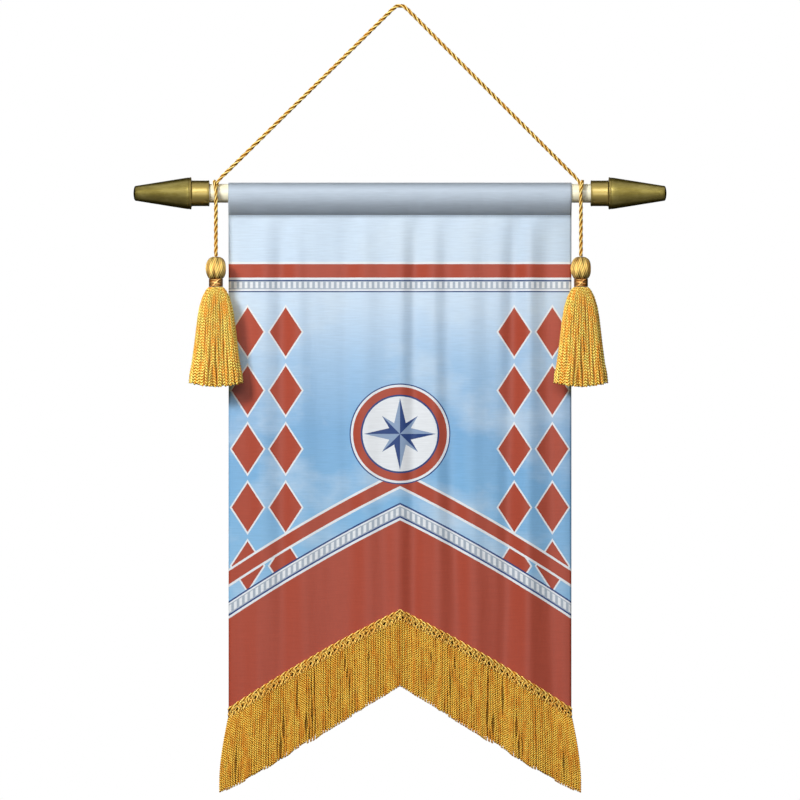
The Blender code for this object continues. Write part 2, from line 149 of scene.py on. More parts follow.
def catmull_rom(points: Array, pieces: int = 16) -> Array:
    """Centripetal Catmull-Rom curve through all the points, by the Barry and Goldman pyramid.

    Args:
        points: the curve's points, one a row.
        pieces: steps between two points.

    Returns:
        Points of the curve, in order.
    """
    ends = np.vstack([2 * points[0] - points[1], points, 2 * points[-1] - points[-2]])
    rows = [ends[start : len(ends) - 3 + start, None, :] for start in range(4)]
    knots = [0.0]
    for a, b in zip(rows, rows[1:]):
        knots.append(knots[-1] + np.linalg.norm(b - a, axis=-1, keepdims=True) ** 0.5)
    t = knots[1] + (knots[2] - knots[1]) * (np.arange(pieces) / pieces)[None, :, None]
    for spans in (((0, 1), (1, 2), (2, 3)), ((0, 2), (1, 3)), ((1, 2),)):
        rows = [
            a + (b - a) * (t - knots[start]) / (knots[end] - knots[start])
            for a, b, (start, end) in zip(rows, rows[1:], spans)
        ]
    return np.vstack([rows[0].reshape(-1, 3), points[-1:]])


def evenly_spaced(curve: Array, step: float) -> tuple[Array, Array]:
    """Points at even steps along a line, and how far along it each lies.

    Args:
        curve: points of the line, one a row.
        step: about how far apart the new points come.

    Returns:
        The points, and their distances along the line.
    """
    along = np.concatenate([[0.0], np.linalg.norm(np.diff(curve, axis=0), axis=1).cumsum()])
    places = np.linspace(0.0, along[-1], int(along[-1] / step) + 1)
    return np.stack([np.interp(places, along, curve[:, axis]) for axis in range(3)], axis=-1), places


def ring_directions(centres: Array, reference: Array) -> tuple[Array, Array]:
    """Two unit directions square to paths of (..., points, 3): a reference that the path never runs
    along, crossed with the path's direction, and that direction crossed with the first.

    Args:
        centres: points along each path.
        reference: a direction that no path runs along, or one for each point.

    Returns:
        The two directions at each point.
    """
    forward = np.gradient(centres, axis=-2)
    forward /= np.linalg.norm(forward, axis=-1, keepdims=True)
    across = np.cross(np.broadcast_to(reference, forward.shape), forward)
    across /= np.linalg.norm(across, axis=-1, keepdims=True)
    return across, np.cross(forward, across)


def joined(*values: Array | float) -> Array:
    """Coordinates, or other values that belong together, broadcast and put on a last axis."""
    return np.stack(np.broadcast_arrays(*values), axis=-1)


def polar(reach: Array | float, angle: Array, z: Array) -> Array:
    """Points at a reach and an angle about the Z axis, at a height."""
    return joined(reach * np.cos(angle), reach * np.sin(angle), z)


class Section(NamedTuple):
    """A yarn's section: points round it, plies, depth of the groove between them as a share of the
    radius, and whether its points turn with the plies, which suits rings that are close together."""

    sides: int
    plies: int = 1
    groove: float = 0.0
    turning: bool = True


def ply_rings(
    centres: Array, directions: tuple[Array, Array], radius: Array, turns: Array, section: Section
) -> Array:
    """Sections of twisted yarn carried along paths.

    A section's reach is the radius, less a groove between plies that follows a cosine of the angle
    times the number of plies. Each section is turned on from the last by the yarn's twist, or
    stands still while its crests move round by as much.

    Args:
        centres: points along each yarn, (yarns, rings, 3).
        directions: two unit directions square to the yarn, that broadcast to the centres.
        radius: the yarn's radius at each ring, (yarns, rings).
        turns: full turns of twist at each ring, (yarns, rings).
        section: the yarn's section.

    Returns:
        The sections' points, (yarns, rings, sides, 3).
    """
    angle = TAU * np.arange(section.sides) / section.sides
    twist = TAU * turns[..., None]
    lobe = section.plies * (angle if section.turning else angle + twist)
    reach = radius[..., None] * (1 - section.groove * (0.5 - 0.5 * np.cos(lobe)))
    turned = angle + twist if section.turning else angle + 0 * twist
    across, deep = (np.broadcast_to(way, centres.shape)[..., None, :] for way in directions)
    sideways, depthways = reach * np.cos(turned), reach * np.sin(turned)
    return centres[..., None, :] + sideways[..., None] * across + depthways[..., None] * deep


def cells(grids: Array) -> Array:
    """The corners of each cell, in order round it, of (grids, rows, columns) values or pairs."""
    corners = (grids[:, :-1, :-1], grids[:, :-1, 1:], grids[:, 1:, 1:], grids[:, 1:, :-1])
    return np.stack(corners, axis=3).reshape(-1, 4, *grids.shape[3:])


def signed_volume(points: Array, corners: Array) -> float:
    """Six times the signed volume under faces: a fan of determinants from each first corner."""
    fans = (points[corners[:, [0, middle, middle + 1]]] for middle in range(1, corners.shape[1] - 1))
    return sum(float(np.einsum("ij,ij->", fan[:, 0], np.cross(fan[:, 1], fan[:, 2]))) for fan in fans)


class MeshMaker:
    """Gathers grids of points as faces, with their maps, and puts all of them into one mesh."""

    def __init__(self) -> None:
        """Starts with no points and no faces."""
        self.points: list[Array] = []
        self.tones: list[Array] = []
        self.faces: list[Array] = []
        self.maps: dict[str, list[Array]] = {}
        self.count = 0

    def _take(
        self, points: Array, tones: Array | float, groups: list[tuple[Array, dict[str, Array]]]
    ) -> None:
        """Keeps points with their tones, and groups of faces with the map values of their corners.

        Args:
            points: the points, with their coordinates on the last axis.
            tones: how light each point is.
            groups: corners of faces with one number of sides, and their map values by the map's name.
        """
        for corners, maps in groups:
            self.faces.append(corners + self.count)
            for name, values in maps.items():
                self.maps.setdefault(name, []).append(values)
        self.points.append(points.reshape(-1, 3))
        self.tones.append(np.broadcast_to(tones, points.shape[:-1]).ravel())
        self.count += len(self.points[-1])

    def add_sheet(self, points: Array, maps: dict[str, Array]) -> None:
        """Adds an open grid of points (rows, columns, 3), with maps of (rows, columns, 2)."""
        index = np.arange(points.size // 3).reshape(1, *points.shape[:2])
        self._take(points, 0.0, [(cells(index), {name: cells(grid[None]) for name, grid in maps.items()})])

    def add_tubes(self, points: Array, along: Array, tones: Array | float = 0.0, ring: bool = False) -> None:
        """Adds closed tubes: rings of points joined by quads, and an end face on each end.

        The map named Yarn holds the share of the way round and the length along in metres. Faces
        are turned over where the signed volume says that they point inwards.

        Args:
            points: (tubes, rings, sides, 3).
            along: length along each tube at each ring, (tubes, rings).
            tones: how light each point is, kept as the attribute named tone; it broadcasts to
                (tubes, rings, sides).
            ring: joins the last ring to the first in place of the end faces.
        """
        sides = points.shape[2]
        index = np.arange(points.size // 3).reshape(points.shape[:3])
        index = np.concatenate([index, index[:, :, :1]], axis=2)
        around = np.arange(sides + 1) / sides
        yarn = np.stack([np.broadcast_to(grid, index.shape) for grid in (around, along[..., None])], axis=-1)
        ends = [(index[:, 0, -2::-1], yarn[:, 0, -2::-1]), (index[:, -1, :-1], yarn[:, -1, :-1])]
        if ring:
            index, yarn = (np.concatenate([grid, grid[:, :1]], axis=1) for grid in (index, yarn))
        groups = [(cells(index), cells(yarn)), *([] if ring else ends)]
        outwards = sum(signed_volume(points.reshape(-1, 3), corners) for corners, _ in groups) > 0
        turn = slice(None, None, 1 if outwards else -1)
        turned = [(corners[:, turn], {"Yarn": values[:, turn]}) for corners, values in groups]
        self._take(points, tones, turned)

    def build(
        self, name: str, finishes: list[Material], slot: str = "", stands_for: str = "", sharp_over: float = 0
    ) -> Piece:
        """Makes the piece, which rides on the model's body and stands at the origin.

        Args:
            name: the piece's name.
            finishes: its materials, in the order of their slots.
            slot: a finish slot's name; not used.
            stands_for: the node that it replaces.
            sharp_over: edges that turn by more than this many degrees stay sharp, where it is over 0.

        Returns:
            The piece.
        """
        corners = np.concatenate([faces.ravel() for faces in self.faces])
        sizes = np.concatenate([np.full(len(faces), faces.shape[1]) for faces in self.faces])
        mesh = bpy.data.meshes.new(name)
        mesh.vertices.add(self.count)
        mesh.vertices.foreach_set("co", np.concatenate(self.points).astype(np.float32).ravel())
        mesh.loops.add(len(corners))
        mesh.loops.foreach_set("vertex_index", corners.astype(np.int32))
        mesh.polygons.add(len(sizes))
        mesh.polygons.foreach_set("loop_start", (np.cumsum(sizes) - sizes).astype(np.int32))
        mesh.update(calc_edges=True)
        for map_name, values in self.maps.items():
            flat = np.concatenate([group.ravel() for group in values])
            layer = mesh.uv_layers.new(name=map_name, do_init=False)
            layer.uv.foreach_set("vector", flat.astype(np.float32))
        tone = mesh.attributes.new("tone", "FLOAT", "POINT")
        tone.data.foreach_set("value", np.concatenate(self.tones).astype(np.float32))
        mesh.shade_smooth()
        if sharp_over:
            mesh.set_sharp_from_angle(angle=math.radians(sharp_over))
        for finish in finishes:
            mesh.materials.append(finish)
        piece = bpy.data.objects.new(name, mesh)
        bpy.context.scene.collection.objects.link(piece)
        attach(piece, "root")
        if stands_for:
            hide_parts(stands_for)
        LOG.info("%s: %d points, %d faces", name, self.count, len(sizes))
        return piece


# Finishes

CLEAR, BLACK, WHITE = (0.0, 0.0, 0.0, 0.0), (0.0, 0.0, 0.0, 1.0), (1.0, 1.0, 1.0, 1.0)


@dataclass(frozen=True)
class Finish:
    """A surface finish: its name and the numbers that are the same all over it."""

    name: str
    roughness: float
    metallic: float = 0.0
    ior: float = 1.5
    specular: float = 0.5
    sheen: float = 0.0
    sheen_tint: str = "#FFFFFF"
    sheen_roughness: float = 0.4
    coat: float = 0.0
    coat_roughness: float = 0.22

    def pattern(self, tree: Tree) -> dict[str, Any]:
        """Adds the finish's own nodes, and returns what its shader takes, by the socket's name."""
        raise NotImplementedError

    def build(self) -> Material:
        """Makes the material: its even numbers on the shader, then its pattern."""
        material = bpy.data.materials.new(self.name)
        material.use_nodes = True
        shader = material.node_tree.nodes["Principled BSDF"]
        even = {
            "Roughness": self.roughness,
            "Metallic": self.metallic,
            "IOR": self.ior,
            "Specular IOR Level": self.specular,
            "Sheen Weight": self.sheen,
            "Sheen Roughness": self.sheen_roughness,
            "Sheen Tint": linear(self.sheen_tint),
            "Coat Weight": self.coat,
            "Coat Roughness": self.coat_roughness,
        }
        feed(shader, even)
        feed(shader, self.pattern(material.node_tree))
        return material


@dataclass(frozen=True)
class PlyYarn(Finish):
    """Twisted rayon yarn with painted light: a painted highlight on each ply's crest, and painted
    shade, deep brown, in the groove beside the next one. The shades are the groove's painted shade
    and the ply's side."""

    crest: str = "#FFFFFF"
    shades: tuple[str, str] = ("#FFFFFF", "#FFFFFF")
    patch: str = "#FFFFFF"
    plies: int = 2
    lay: float = 0.0
    patch_share: float = 0.5
    patch_size: float = 0.016
    steps: Triple = (0.20, 0.58, 0.95)
    filament: float = 0.7
    relief: float = 0.0003
    tone_step: float = 0.22

    def pattern(self, tree: Tree) -> dict[str, Any]:
        """A cosine round the yarn, turned on by the lay, tells the crest's painted highlight from the
        groove's painted shade. Patches of another shade lie over it, and the attribute named tone lightens
        or darkens it.

        Args:
            tree: the material's nodes.

        Returns:
            What the shader takes, by the socket's name.
        """
        place = add_node(tree, "UVMap", {}, uv_map="Yarn")
        split = add_node(tree, "SeparateXYZ", {0: place}).node.outputs
        known: dict[Any, Any] = {"around": split["X"], "along": split["Y"]}
        rows = (
            ("twist", "MULTIPLY", "along", 1 / self.lay if self.lay else 0.0),
            ("phase", "MULTIPLY_ADD", "around", float(self.plies), "twist"),
            ("angle", "MULTIPLY", "phase", math.pi),
            ("wave", "COSINE", "angle"),
            ("crest", "ABSOLUTE", "wave"),
            ("lines", "MULTIPLY", "phase", 3.0),
            ("run", "MULTIPLY", "along", 60.0),
        )
        for name, operation, *terms in rows:
            inputs = {at: known.get(term, term) for at, term in enumerate(terms)}
            known[name] = add_node(tree, operation, inputs)
        # Filaments are far too fine to show, so they are drawn as a few lines along each ply.
        lines = add_node(tree, "CombineXYZ", {"X": known["lines"], "Y": known["run"]})
        fibres = add_node(tree, "TexNoise", {"Vector": lines, "Scale": 1.6, "Detail": 3.0, "Roughness": 0.7})
        shine = add_node(tree, "MULTIPLY_ADD", {0: fibres, 1: self.filament, 2: -self.filament / 2})
        level = add_node(tree, "ADD", {0: known["crest"], 1: shine})
        # Painted light: the ramp runs from the groove's painted shade through the ply's side to the crest's
        # painted highlight.
        shades = [linear(code) for code in (*self.shades, self.crest)]
        color = add_node(tree, "ValToRGB", {"Fac": level}, stops=list(zip(self.steps, shades)))
        space = add_node(tree, "TexCoord", {}, "Object")
        stretched = add_node(tree, "Mapping", {"Vector": space, "Scale": (1.6, 1.0, 0.3)})
        spots = {"Vector": stretched, "Scale": 1 / self.patch_size, "Detail": 2.0}
        patches = add_node(tree, "TexNoise", spots)
        patched = add_node(tree, "ValToRGB", {"Fac": patches}, stops=[(0.45, BLACK), (0.62, WHITE)])
        share = add_node(tree, "MULTIPLY", {0: patched, 1: self.patch_share})
        mixed = {FACTOR: share, COLOR_A: color, COLOR_B: linear(self.patch)}
        patches_and_shine = add_node(tree, "Mix", mixed, COLOR_OUT, data_type="RGBA")
        # The tone attribute holds random differences and, in places, painted shade and painted highlight.
        tone = add_node(tree, "Attribute", {}, "Fac", attribute_name="tone")
        bright = add_node(tree, "MULTIPLY_ADD", {0: tone, 1: self.tone_step, 2: 1.0})
        return {
            "Base Color": add_node(tree, "HueSaturation", {"Value": bright, "Color": patches_and_shine}),
            "Normal": add_node(tree, "Bump", {"Height": level, "Strength": 0.6, "Distance": self.relief}),
            "Specular Tint": linear(self.crest),
        }


CORD_YARN = PlyYarn(
    "three_ply_rayon_cord", 0.40, specular=0.2, sheen=0.1, sheen_tint="#FFD98A", crest="#FFE78E",
    shades=("#3C2206", "#E09C2E"), patch="#C87A1C", plies=3, patch_share=0.35, steps=(0.36, 0.68, 0.97)
)
SEWING_THREAD = PlyYarn(
    "polyester_sewing_thread", 0.5, crest="#D3DDE8", shades=("#8795A6", "#B9C6D4"), patch="#B9C6D4",
    lay=0.0012
)
HEADING_YARN = PlyYarn(
    "crocheted_rayon_heading", 0.42, specular=0.15, sheen=0.1, sheen_tint="#FFE09A", crest="#FFE07A",
    shades=("#3E1E06", "#D88C20"), patch="#C87818", patch_share=0.35
)
STRAND_YARN = PlyYarn(
    "twisted_rayon_bullion", 0.45, specular=0.12, sheen=0.1, sheen_tint="#FFD98A", crest="#FFE26A",
    shades=("#3E1C02", "#F89A14"), patch="#CC6E18", lay=0.0030, patch_size=0.008
)
HEAD_YARN = PlyYarn(
    "looped_rayon_yarn", 0.4, specular=0.2, sheen=0.1, sheen_tint="#FFF0C0", crest="#FFD87A",
    shades=("#743006", "#D67E16"), patch="#B45A12", plies=0, patch_size=0.007
)
SKIRT_YARN = PlyYarn(
    "tassel_rayon_yarn", 0.42, specular=0.12, sheen=0.1, sheen_tint="#FFE9A8", crest="#FFF68A",
    shades=("#683004", "#FFB61A"), patch="#EE7E10", lay=0.0038, patch_size=0.006, steps=(0.36, 0.64, 0.93)
)
BAND_THREAD = PlyYarn(
    "wound_silk_thread", 0.3, specular=0.3, crest="#FFD486", shades=("#4A2208", "#B4661E"), patch="#9C5416",
    lay=0.002
)


@dataclass(frozen=True)
class AntiqueBrass(Finish):
    """Spun brass with an antique lacquer: fine rings from the lathe, a brown bloom in soft patches,
    and a painted brighter reflection on the ferrule, which is one even light brass without the bloom."""

    bright: str = "#AF9F54"
    bloom: str = "#9B8B40"
    dark: str = "#83732F"
    ferrule_shine: str = "#B09A50"
    ferrule_shine_within: float = 0.280
    ring_spacing: float = 0.0011

    def pattern(self, tree: Tree) -> dict[str, Any]:
        """Bloom by soft noise, rings by bands along the finial's axis.

        Args:
            tree: the material's nodes.

        Returns:
            What the shader takes, by the socket's name.
        """
        space = add_node(tree, "TexCoord", {}, "Object")
        smeared = add_node(tree, "Mapping", {"Vector": space, "Scale": (0.45, 1.0, 1.0)})
        mottle = {"Vector": smeared, "Scale": 85.0, "Detail": 5.0, "Roughness": 0.62}
        bloom = add_node(tree, "TexNoise", mottle)
        stops = [(0.28, linear(self.dark)), (0.46, linear(self.bloom)), (0.62, linear(self.bright))]
        aged = add_node(tree, "ValToRGB", {"Fac": bloom}, stops=stops)
        # Painted reflection: the ferrule, within this reach of the middle, is one even lighter brass.
        out = add_node(tree, "ABSOLUTE", {0: add_node(tree, "SeparateXYZ", {0: space}, "X")})
        near = add_node(tree, "LESS_THAN", {0: out, 1: self.ferrule_shine_within})
        patches_and_shine = {FACTOR: near, COLOR_A: aged, COLOR_B: linear(self.ferrule_shine)}
        span = {"Value": bloom, "To Min": self.roughness + 0.12, "To Max": self.roughness - 0.08}
        # Lathe marks are about 0.1 mm apart, and are drawn at 1.1 mm so that they show.
        marks = {"Vector": space, "Scale": TAU / 20 / self.ring_spacing, "Distortion": 0.6, "Detail": 2.0}
        rings = add_node(tree, "TexWave", marks, "Fac", bands_direction="X")
        return {
            "Base Color": add_node(tree, "Mix", patches_and_shine, COLOR_OUT, data_type="RGBA"),
            "Roughness": add_node(tree, "MapRange", span),
            "Normal": add_node(tree, "Bump", {"Height": rings, "Strength": 0.10, "Distance": 0.0001}),
        }


@dataclass(frozen=True)
class CreamLacquer(Finish):
    """A turned hardwood rod under cream lacquer: an even satin face with the grain just showing."""

    pale: str = "#F3EFD4"
    grain: str = "#EBE6C8"

    def pattern(self, tree: Tree) -> dict[str, Any]:
        """Noise stretched along the rod draws the grain.

        Args:
            tree: the material's nodes.

        Returns:
            What the shader takes, by the socket's name.
        """
        space = add_node(tree, "TexCoord", {}, "Object")
        drawn = add_node(tree, "Mapping", {"Vector": space, "Scale": (9.0, 260.0, 260.0)})
        grain = add_node(tree, "TexNoise", {"Vector": drawn, "Scale": 1.0, "Detail": 4.0})
        stops = [(0.35, linear(self.grain)), (0.6, linear(self.pale))]
        return {
            "Base Color": add_node(tree, "ValToRGB", {"Fac": grain}, stops=stops),
            "Normal": add_node(tree, "Bump", {"Height": grain, "Strength": 0.15, "Distance": 0.0002}),
        }


@dataclass(frozen=True)
class StudioPaper(Finish):
    """Matt white background paper."""

    pale: str = "#F5F5F3"

    def pattern(self, tree: Tree) -> dict[str, Any]:
        """A plain pale colour with a faint fibre.

        Args:
            tree: the material's nodes.

        Returns:
            What the shader takes, by the socket's name.
        """
        space = add_node(tree, "TexCoord", {}, "Object")
        fibre = add_node(tree, "TexNoise", {"Vector": space, "Scale": 300.0})
        bump = add_node(tree, "Bump", {"Height": fibre, "Strength": 0.05, "Distance": 0.0005})
        return {"Base Color": linear(self.pale), "Normal": bump}


# Painted shade on the sleeve, from its seam up to its top: the share of its height, and how light
# its colour is painted there
SLEEVE_PAINTED_SHADE = (
    (0.02, 0.64), (0.15, 0.69), (0.27, 0.72), (0.46, 0.89), (0.59, 0.95), (0.75, 0.94), (0.84, 0.85),
    (1.00, 0.57)
)
# The sky from the lower corners up to the seam, by the share of its height
SKY = (
    (0.00, "#7FB6E0"), (0.20, "#97C8EC"), (0.42, "#86BDE8"), (0.56, "#84B8E4"), (0.70, "#A9CDEE"),
    (0.82, "#CFE4F8"), (1.00, "#D6E8F9")
)
# Stripes of the print: what is measured, the ramp's span, and where each colour starts, in
# millimetres. An empty name lets the ground show.
STRIPES = (
    ("drop", 200.0, ((0, ""), (62, "white"), (65, "brick"), (83, "white"), (86, "navy"), (88, "grey"),
                     (99, "white"), (101, "navy"), (103, ""))),
    ("q", 300.0, ((0, "brick"), (118, "white"), (121, "navy"), (124, "grey"), (137, "white"), (139, "navy"),
                  (141, ""), (160, "white"), (163, "brick"), (181, "white"), (184, ""))),
    ("reach", 200.0, ((0, "white"), (50, "navy"), (52, "brick"), (62, "white"), (65, "navy"), (67, ""))),
)
COLUMN, ROW = 0.0254, 0.039
LONG_POINT, LONG_WIDTH, SHORT_POINT, SHORT_WIDTH = 0.048, 0.011, 0.034, 0.0085


@dataclass(frozen=True)
class PrintedSatin(Finish):
    """Polyester satin with a dyed print: a soft sheen, fine threads, and colours that pass through
    to the back much paler.

    The print is a plain heraldic one in the cloth's own colours: a clouded sky ground, brick-red
    lozenges and chevrons with white, grey and navy lines, and a compass star. It is laid out in
    metres on the flat cut: x across and v up from the seam, and q the height over the lower edge.
    """

    show_through: float = 1.0
    depth: float = 0.84
    brick: str = "#B04A34"
    white: str = "#EEF2F6"
    grey: str = "#AEBAC8"
    navy: str = "#22407C"
    facet: str = "#8FA6C6"
    cloud: str = "#DCEBF7"
    dusk: str = "#B9CBDD"
    # The sleeve's colour is a greyer blue than the cloth below: painted shade.
    sleeve: str = "#C6D4E3"
    sleeve_low: float = -0.2755
    sleeve_high: float = -0.2334
    plain: str = "#E4EAF0"
    star_v: float = -0.292

    def sky(self, tree: Tree, known: dict[Any, Any]) -> Socket:
        """The ground: a sky that deepens downwards and to the right, with soft drifting cloud.

        Args:
            tree: the material's nodes.
            known: the print's measures by name.

        Returns:
            The ground's colour.
        """
        height = add_node(tree, "MapRange", {"Value": known["v"], "From Min": -0.66, "From Max": 0.0})
        tint = add_node(tree, "ValToRGB", {"Fac": height}, stops=[(at, linear(code)) for at, code in SKY])
        drift = add_node(tree, "Mapping", {"Vector": known["cut"], "Scale": (7.0, 9.5, 1.0)})
        cloud = add_node(tree, "TexNoise", {"Vector": drift, "Scale": 1.0, "Detail": 6.0, "Roughness": 0.55})
        stops = [(0.46, BLACK), (0.72, (0.75, 0.75, 0.75, 1.0))]
        veil = add_node(tree, "ValToRGB", {"Fac": cloud}, stops=stops)
        layer = {FACTOR: veil, COLOR_A: tint, COLOR_B: linear(self.cloud)}
        clouded = add_node(tree, "Mix", layer, COLOR_OUT, data_type="RGBA")
        side = {"Value": known["x"], "From Min": 0.10, "From Max": 0.235, "To Max": 0.26}
        share = add_node(tree, "MapRange", side, interpolation_type="SMOOTHSTEP")
        layer = {FACTOR: share, COLOR_A: clouded, COLOR_B: linear(self.dusk)}
        return add_node(tree, "Mix", layer, COLOR_OUT, data_type="RGBA", blend_type="MULTIPLY")

    def rounded(self, tree: Tree) -> Socket:
        """The sleeve's grey-blue with painted shade, darker towards its top and its seam, which makes it
        look round.

        Args:
            tree: the material's nodes.

        Returns:
            The sleeve's colour.
        """
        up = add_node(tree, "SeparateXYZ", {0: add_node(tree, "TexCoord", {}, "Object")}, "Z")
        span = {"Value": up, "From Min": self.sleeve_low, "From Max": self.sleeve_high}
        height = add_node(tree, "MapRange", span)
        red, green, blue, _ = linear(self.sleeve)
        stops = [(at, (shade * red, shade * green, shade * blue, 1.0)) for at, shade in SLEEVE_PAINTED_SHADE]
        return add_node(tree, "ValToRGB", {"Fac": height}, stops=stops)

    def formulas(self) -> tuple[tuple[Any, ...], ...]:
        """The print's shapes, each line a name, an operation and its terms, in metres."""
        half = math.sqrt(0.5)
        return (
            ("drop", "MULTIPLY", "v", -1.0),
            ("aside", "ABSOLUTE", "x"),
            # Lozenges: distance from the nearest centre as a share of the half diagonals
            ("column", "WRAP", "x", COLUMN, -COLUMN),
            ("row", "WRAP", "v", ROW, -ROW),
            ("column_off", "ABSOLUTE", "column"),
            ("row_off", "ABSOLUTE", "row"),
            ("row_share", "MULTIPLY", "row_off", 1 / ROW),
            ("lozenge", "MULTIPLY_ADD", "column_off", 1 / COLUMN, "row_share"),
            ("outer_columns", "GREATER_THAN", "aside", 0.127),
            ("under_border", "GREATER_THAN", "drop", 0.117),
            ("field", "MULTIPLY", "outer_columns", "under_border"),
            ("lozenge_edge", "LESS_THAN", "lozenge", 0.94),
            ("lozenge_heart", "LESS_THAN", "lozenge", 0.84),
            ("lozenge_line", "MULTIPLY", "lozenge_edge", "field"),
            ("lozenge_fill", "MULTIPLY", "lozenge_heart", "field"),
            # Dentils: every second square of a row
            ("step", "MULTIPLY", "x", 1 / 0.0072),
            ("step_share", "FRACT", "step"),
            ("block", "COMPARE", "step_share", 0.5, 0.26),
            ("top_row", "COMPARE", "drop", 0.0935, 0.0042),
            ("low_row", "COMPARE", "q", 0.1308, 0.0050),
            ("either_row", "MAXIMUM", "top_row", "low_row"),
            ("dentil", "MULTIPLY", "block", "either_row"),
            # Compass star: four long and four short points, each a thin rhombus on its axis
            ("rise", "SUBTRACT", "v", self.star_v),
            ("rise_off", "ABSOLUTE", "rise"),
            ("rise_far", "MULTIPLY", "rise_off", 1 / LONG_POINT),
            ("upright", "MULTIPLY_ADD", "aside", 1 / LONG_WIDTH, "rise_far"),
            ("aside_far", "MULTIPLY", "aside", 1 / LONG_POINT),
            ("level", "MULTIPLY_ADD", "rise_off", 1 / LONG_WIDTH, "aside_far"),
            ("sum", "ADD", "x", "rise"),
            ("gap", "SUBTRACT", "x", "rise"),
            ("sum_off", "ABSOLUTE", "sum"),
            ("gap_off", "ABSOLUTE", "gap"),
            ("sum_far", "MULTIPLY", "sum_off", half / SHORT_POINT),
            ("gap_far", "MULTIPLY", "gap_off", half / SHORT_POINT),
            ("slope_up", "MULTIPLY_ADD", "gap_off", half / SHORT_WIDTH, "sum_far"),
            ("slope_down", "MULTIPLY_ADD", "sum_off", half / SHORT_WIDTH, "gap_far"),
            ("long_points", "MINIMUM", "upright", "level"),
            ("short_points", "MINIMUM", "slope_up", "slope_down"),
            ("points", "MINIMUM", "long_points", "short_points"),
            ("star", "LESS_THAN", "points", 1.0),
            # A point is dark on one side of its axis and pale on the other
            ("side_a", "MULTIPLY", "x", "rise"),
            ("side_b", "MULTIPLY", "sum", "gap"),
            ("sides", "MULTIPLY", "side_a", "side_b"),
            ("shade", "GREATER_THAN", "sides", 0.0),
            ("x_square", "MULTIPLY", "x", "x"),
            ("square", "MULTIPLY_ADD", "rise", "rise", "x_square"),
            ("reach", "SQRT", "square"),
            ("above_seam", "GREATER_THAN", "v", 0.0),
        )

    def pattern(self, tree: Tree) -> dict[str, Any]:
        """The print's layers in order, then threads and small creases.

        Args:
            tree: the material's nodes.

        Returns:
            What the shader takes, by the socket's name.
        """
        cut, over = (add_node(tree, "UVMap", {}, uv_map=name) for name in ("Cut", "Chevron"))
        parts = add_node(tree, "SeparateXYZ", {0: cut}).node.outputs
        known: dict[Any, Any] = {"cut": cut, "x": parts["X"], "v": parts["Y"]}
        known["q"] = add_node(tree, "SeparateXYZ", {0: over}, "Y")
        for name, operation, *terms in self.formulas():
            inputs = {at: known.get(term, term) for at, term in enumerate(terms)}
            known[name] = add_node(tree, operation, inputs)
        layers: list[tuple[Any, Any]] = [
            (known["lozenge_line"], linear(self.white)),
            (known["lozenge_fill"], linear(self.brick)),
        ]
        for measure, span, edges in STRIPES:
            share = add_node(tree, "MULTIPLY", {0: known[measure], 1: 1000 / span})
            stops = [(at / span, linear(getattr(self, color)) if color else CLEAR) for at, color in edges]
            stripes = add_node(tree, "ValToRGB", {"Fac": share}, interpolation="CONSTANT", stops=stops)
            layers.append((stripes.node.outputs["Alpha"], stripes))
            if measure == "q":
                layers.append((known["dentil"], linear(self.white)))
        shades = {FACTOR: known["shade"], COLOR_A: linear(self.navy), COLOR_B: linear(self.facet)}
        layers.append((known["star"], add_node(tree, "Mix", shades, COLOR_OUT, data_type="RGBA")))
        # Above the seam, the sleeve's colour with its painted shade.
        layers.append((known["above_seam"], self.rounded(tree)))
        color = self.sky(tree, known)
        for share, layer in layers:
            mixed = {FACTOR: share, COLOR_A: color, COLOR_B: layer}
            color = add_node(tree, "Mix", mixed, COLOR_OUT, data_type="RGBA")
        slubs = add_node(tree, "Mapping", {"Vector": cut, "Scale": (45.0, 520.0, 1.0)})
        weft = add_node(tree, "TexNoise", {"Vector": slubs, "Scale": 1.0, "Detail": 2.0})
        span = {"Value": weft, "To Min": self.depth * 0.89, "To Max": self.depth * 1.11}
        value = add_node(tree, "MapRange", span)
        threaded = add_node(tree, "HueSaturation", {"Value": value, "Color": color})
        faded = {FACTOR: 1 - self.show_through, COLOR_A: threaded, COLOR_B: linear(self.plain)}
        # Satin threads are 0.15 mm apart. They are drawn 0.8 mm apart, to show from close by.
        rows = {"Vector": cut, "Scale": TAU / 20 / 0.0008, "Distortion": 1.2, "Detail": 1.0}
        weave = add_node(tree, "TexWave", rows, "Fac", bands_direction="Y")
        fine = add_node(tree, "Bump", {"Height": weave, "Strength": 0.12, "Distance": 0.0001})
        soft = add_node(tree, "Mapping", {"Vector": cut, "Scale": (26.0, 5.0, 1.0)})
        creases = add_node(tree, "TexNoise", {"Vector": soft, "Scale": 1.0, "Detail": 3.0})
        relief = {"Height": creases, "Strength": 0.35, "Distance": 0.004, "Normal": fine}
        return {
            "Base Color": add_node(tree, "Mix", faded, COLOR_OUT, data_type="RGBA"),
            "Normal": add_node(tree, "Bump", relief),
        }


# The banner's form


class Fold(NamedTuple):
    """A soft trough (depth to the back) or ridge (depth to the front), from the seam to the fringe."""

    top_x: float
    bottom_x: float
    top_depth: float
    bottom_depth: float
    half_width: float


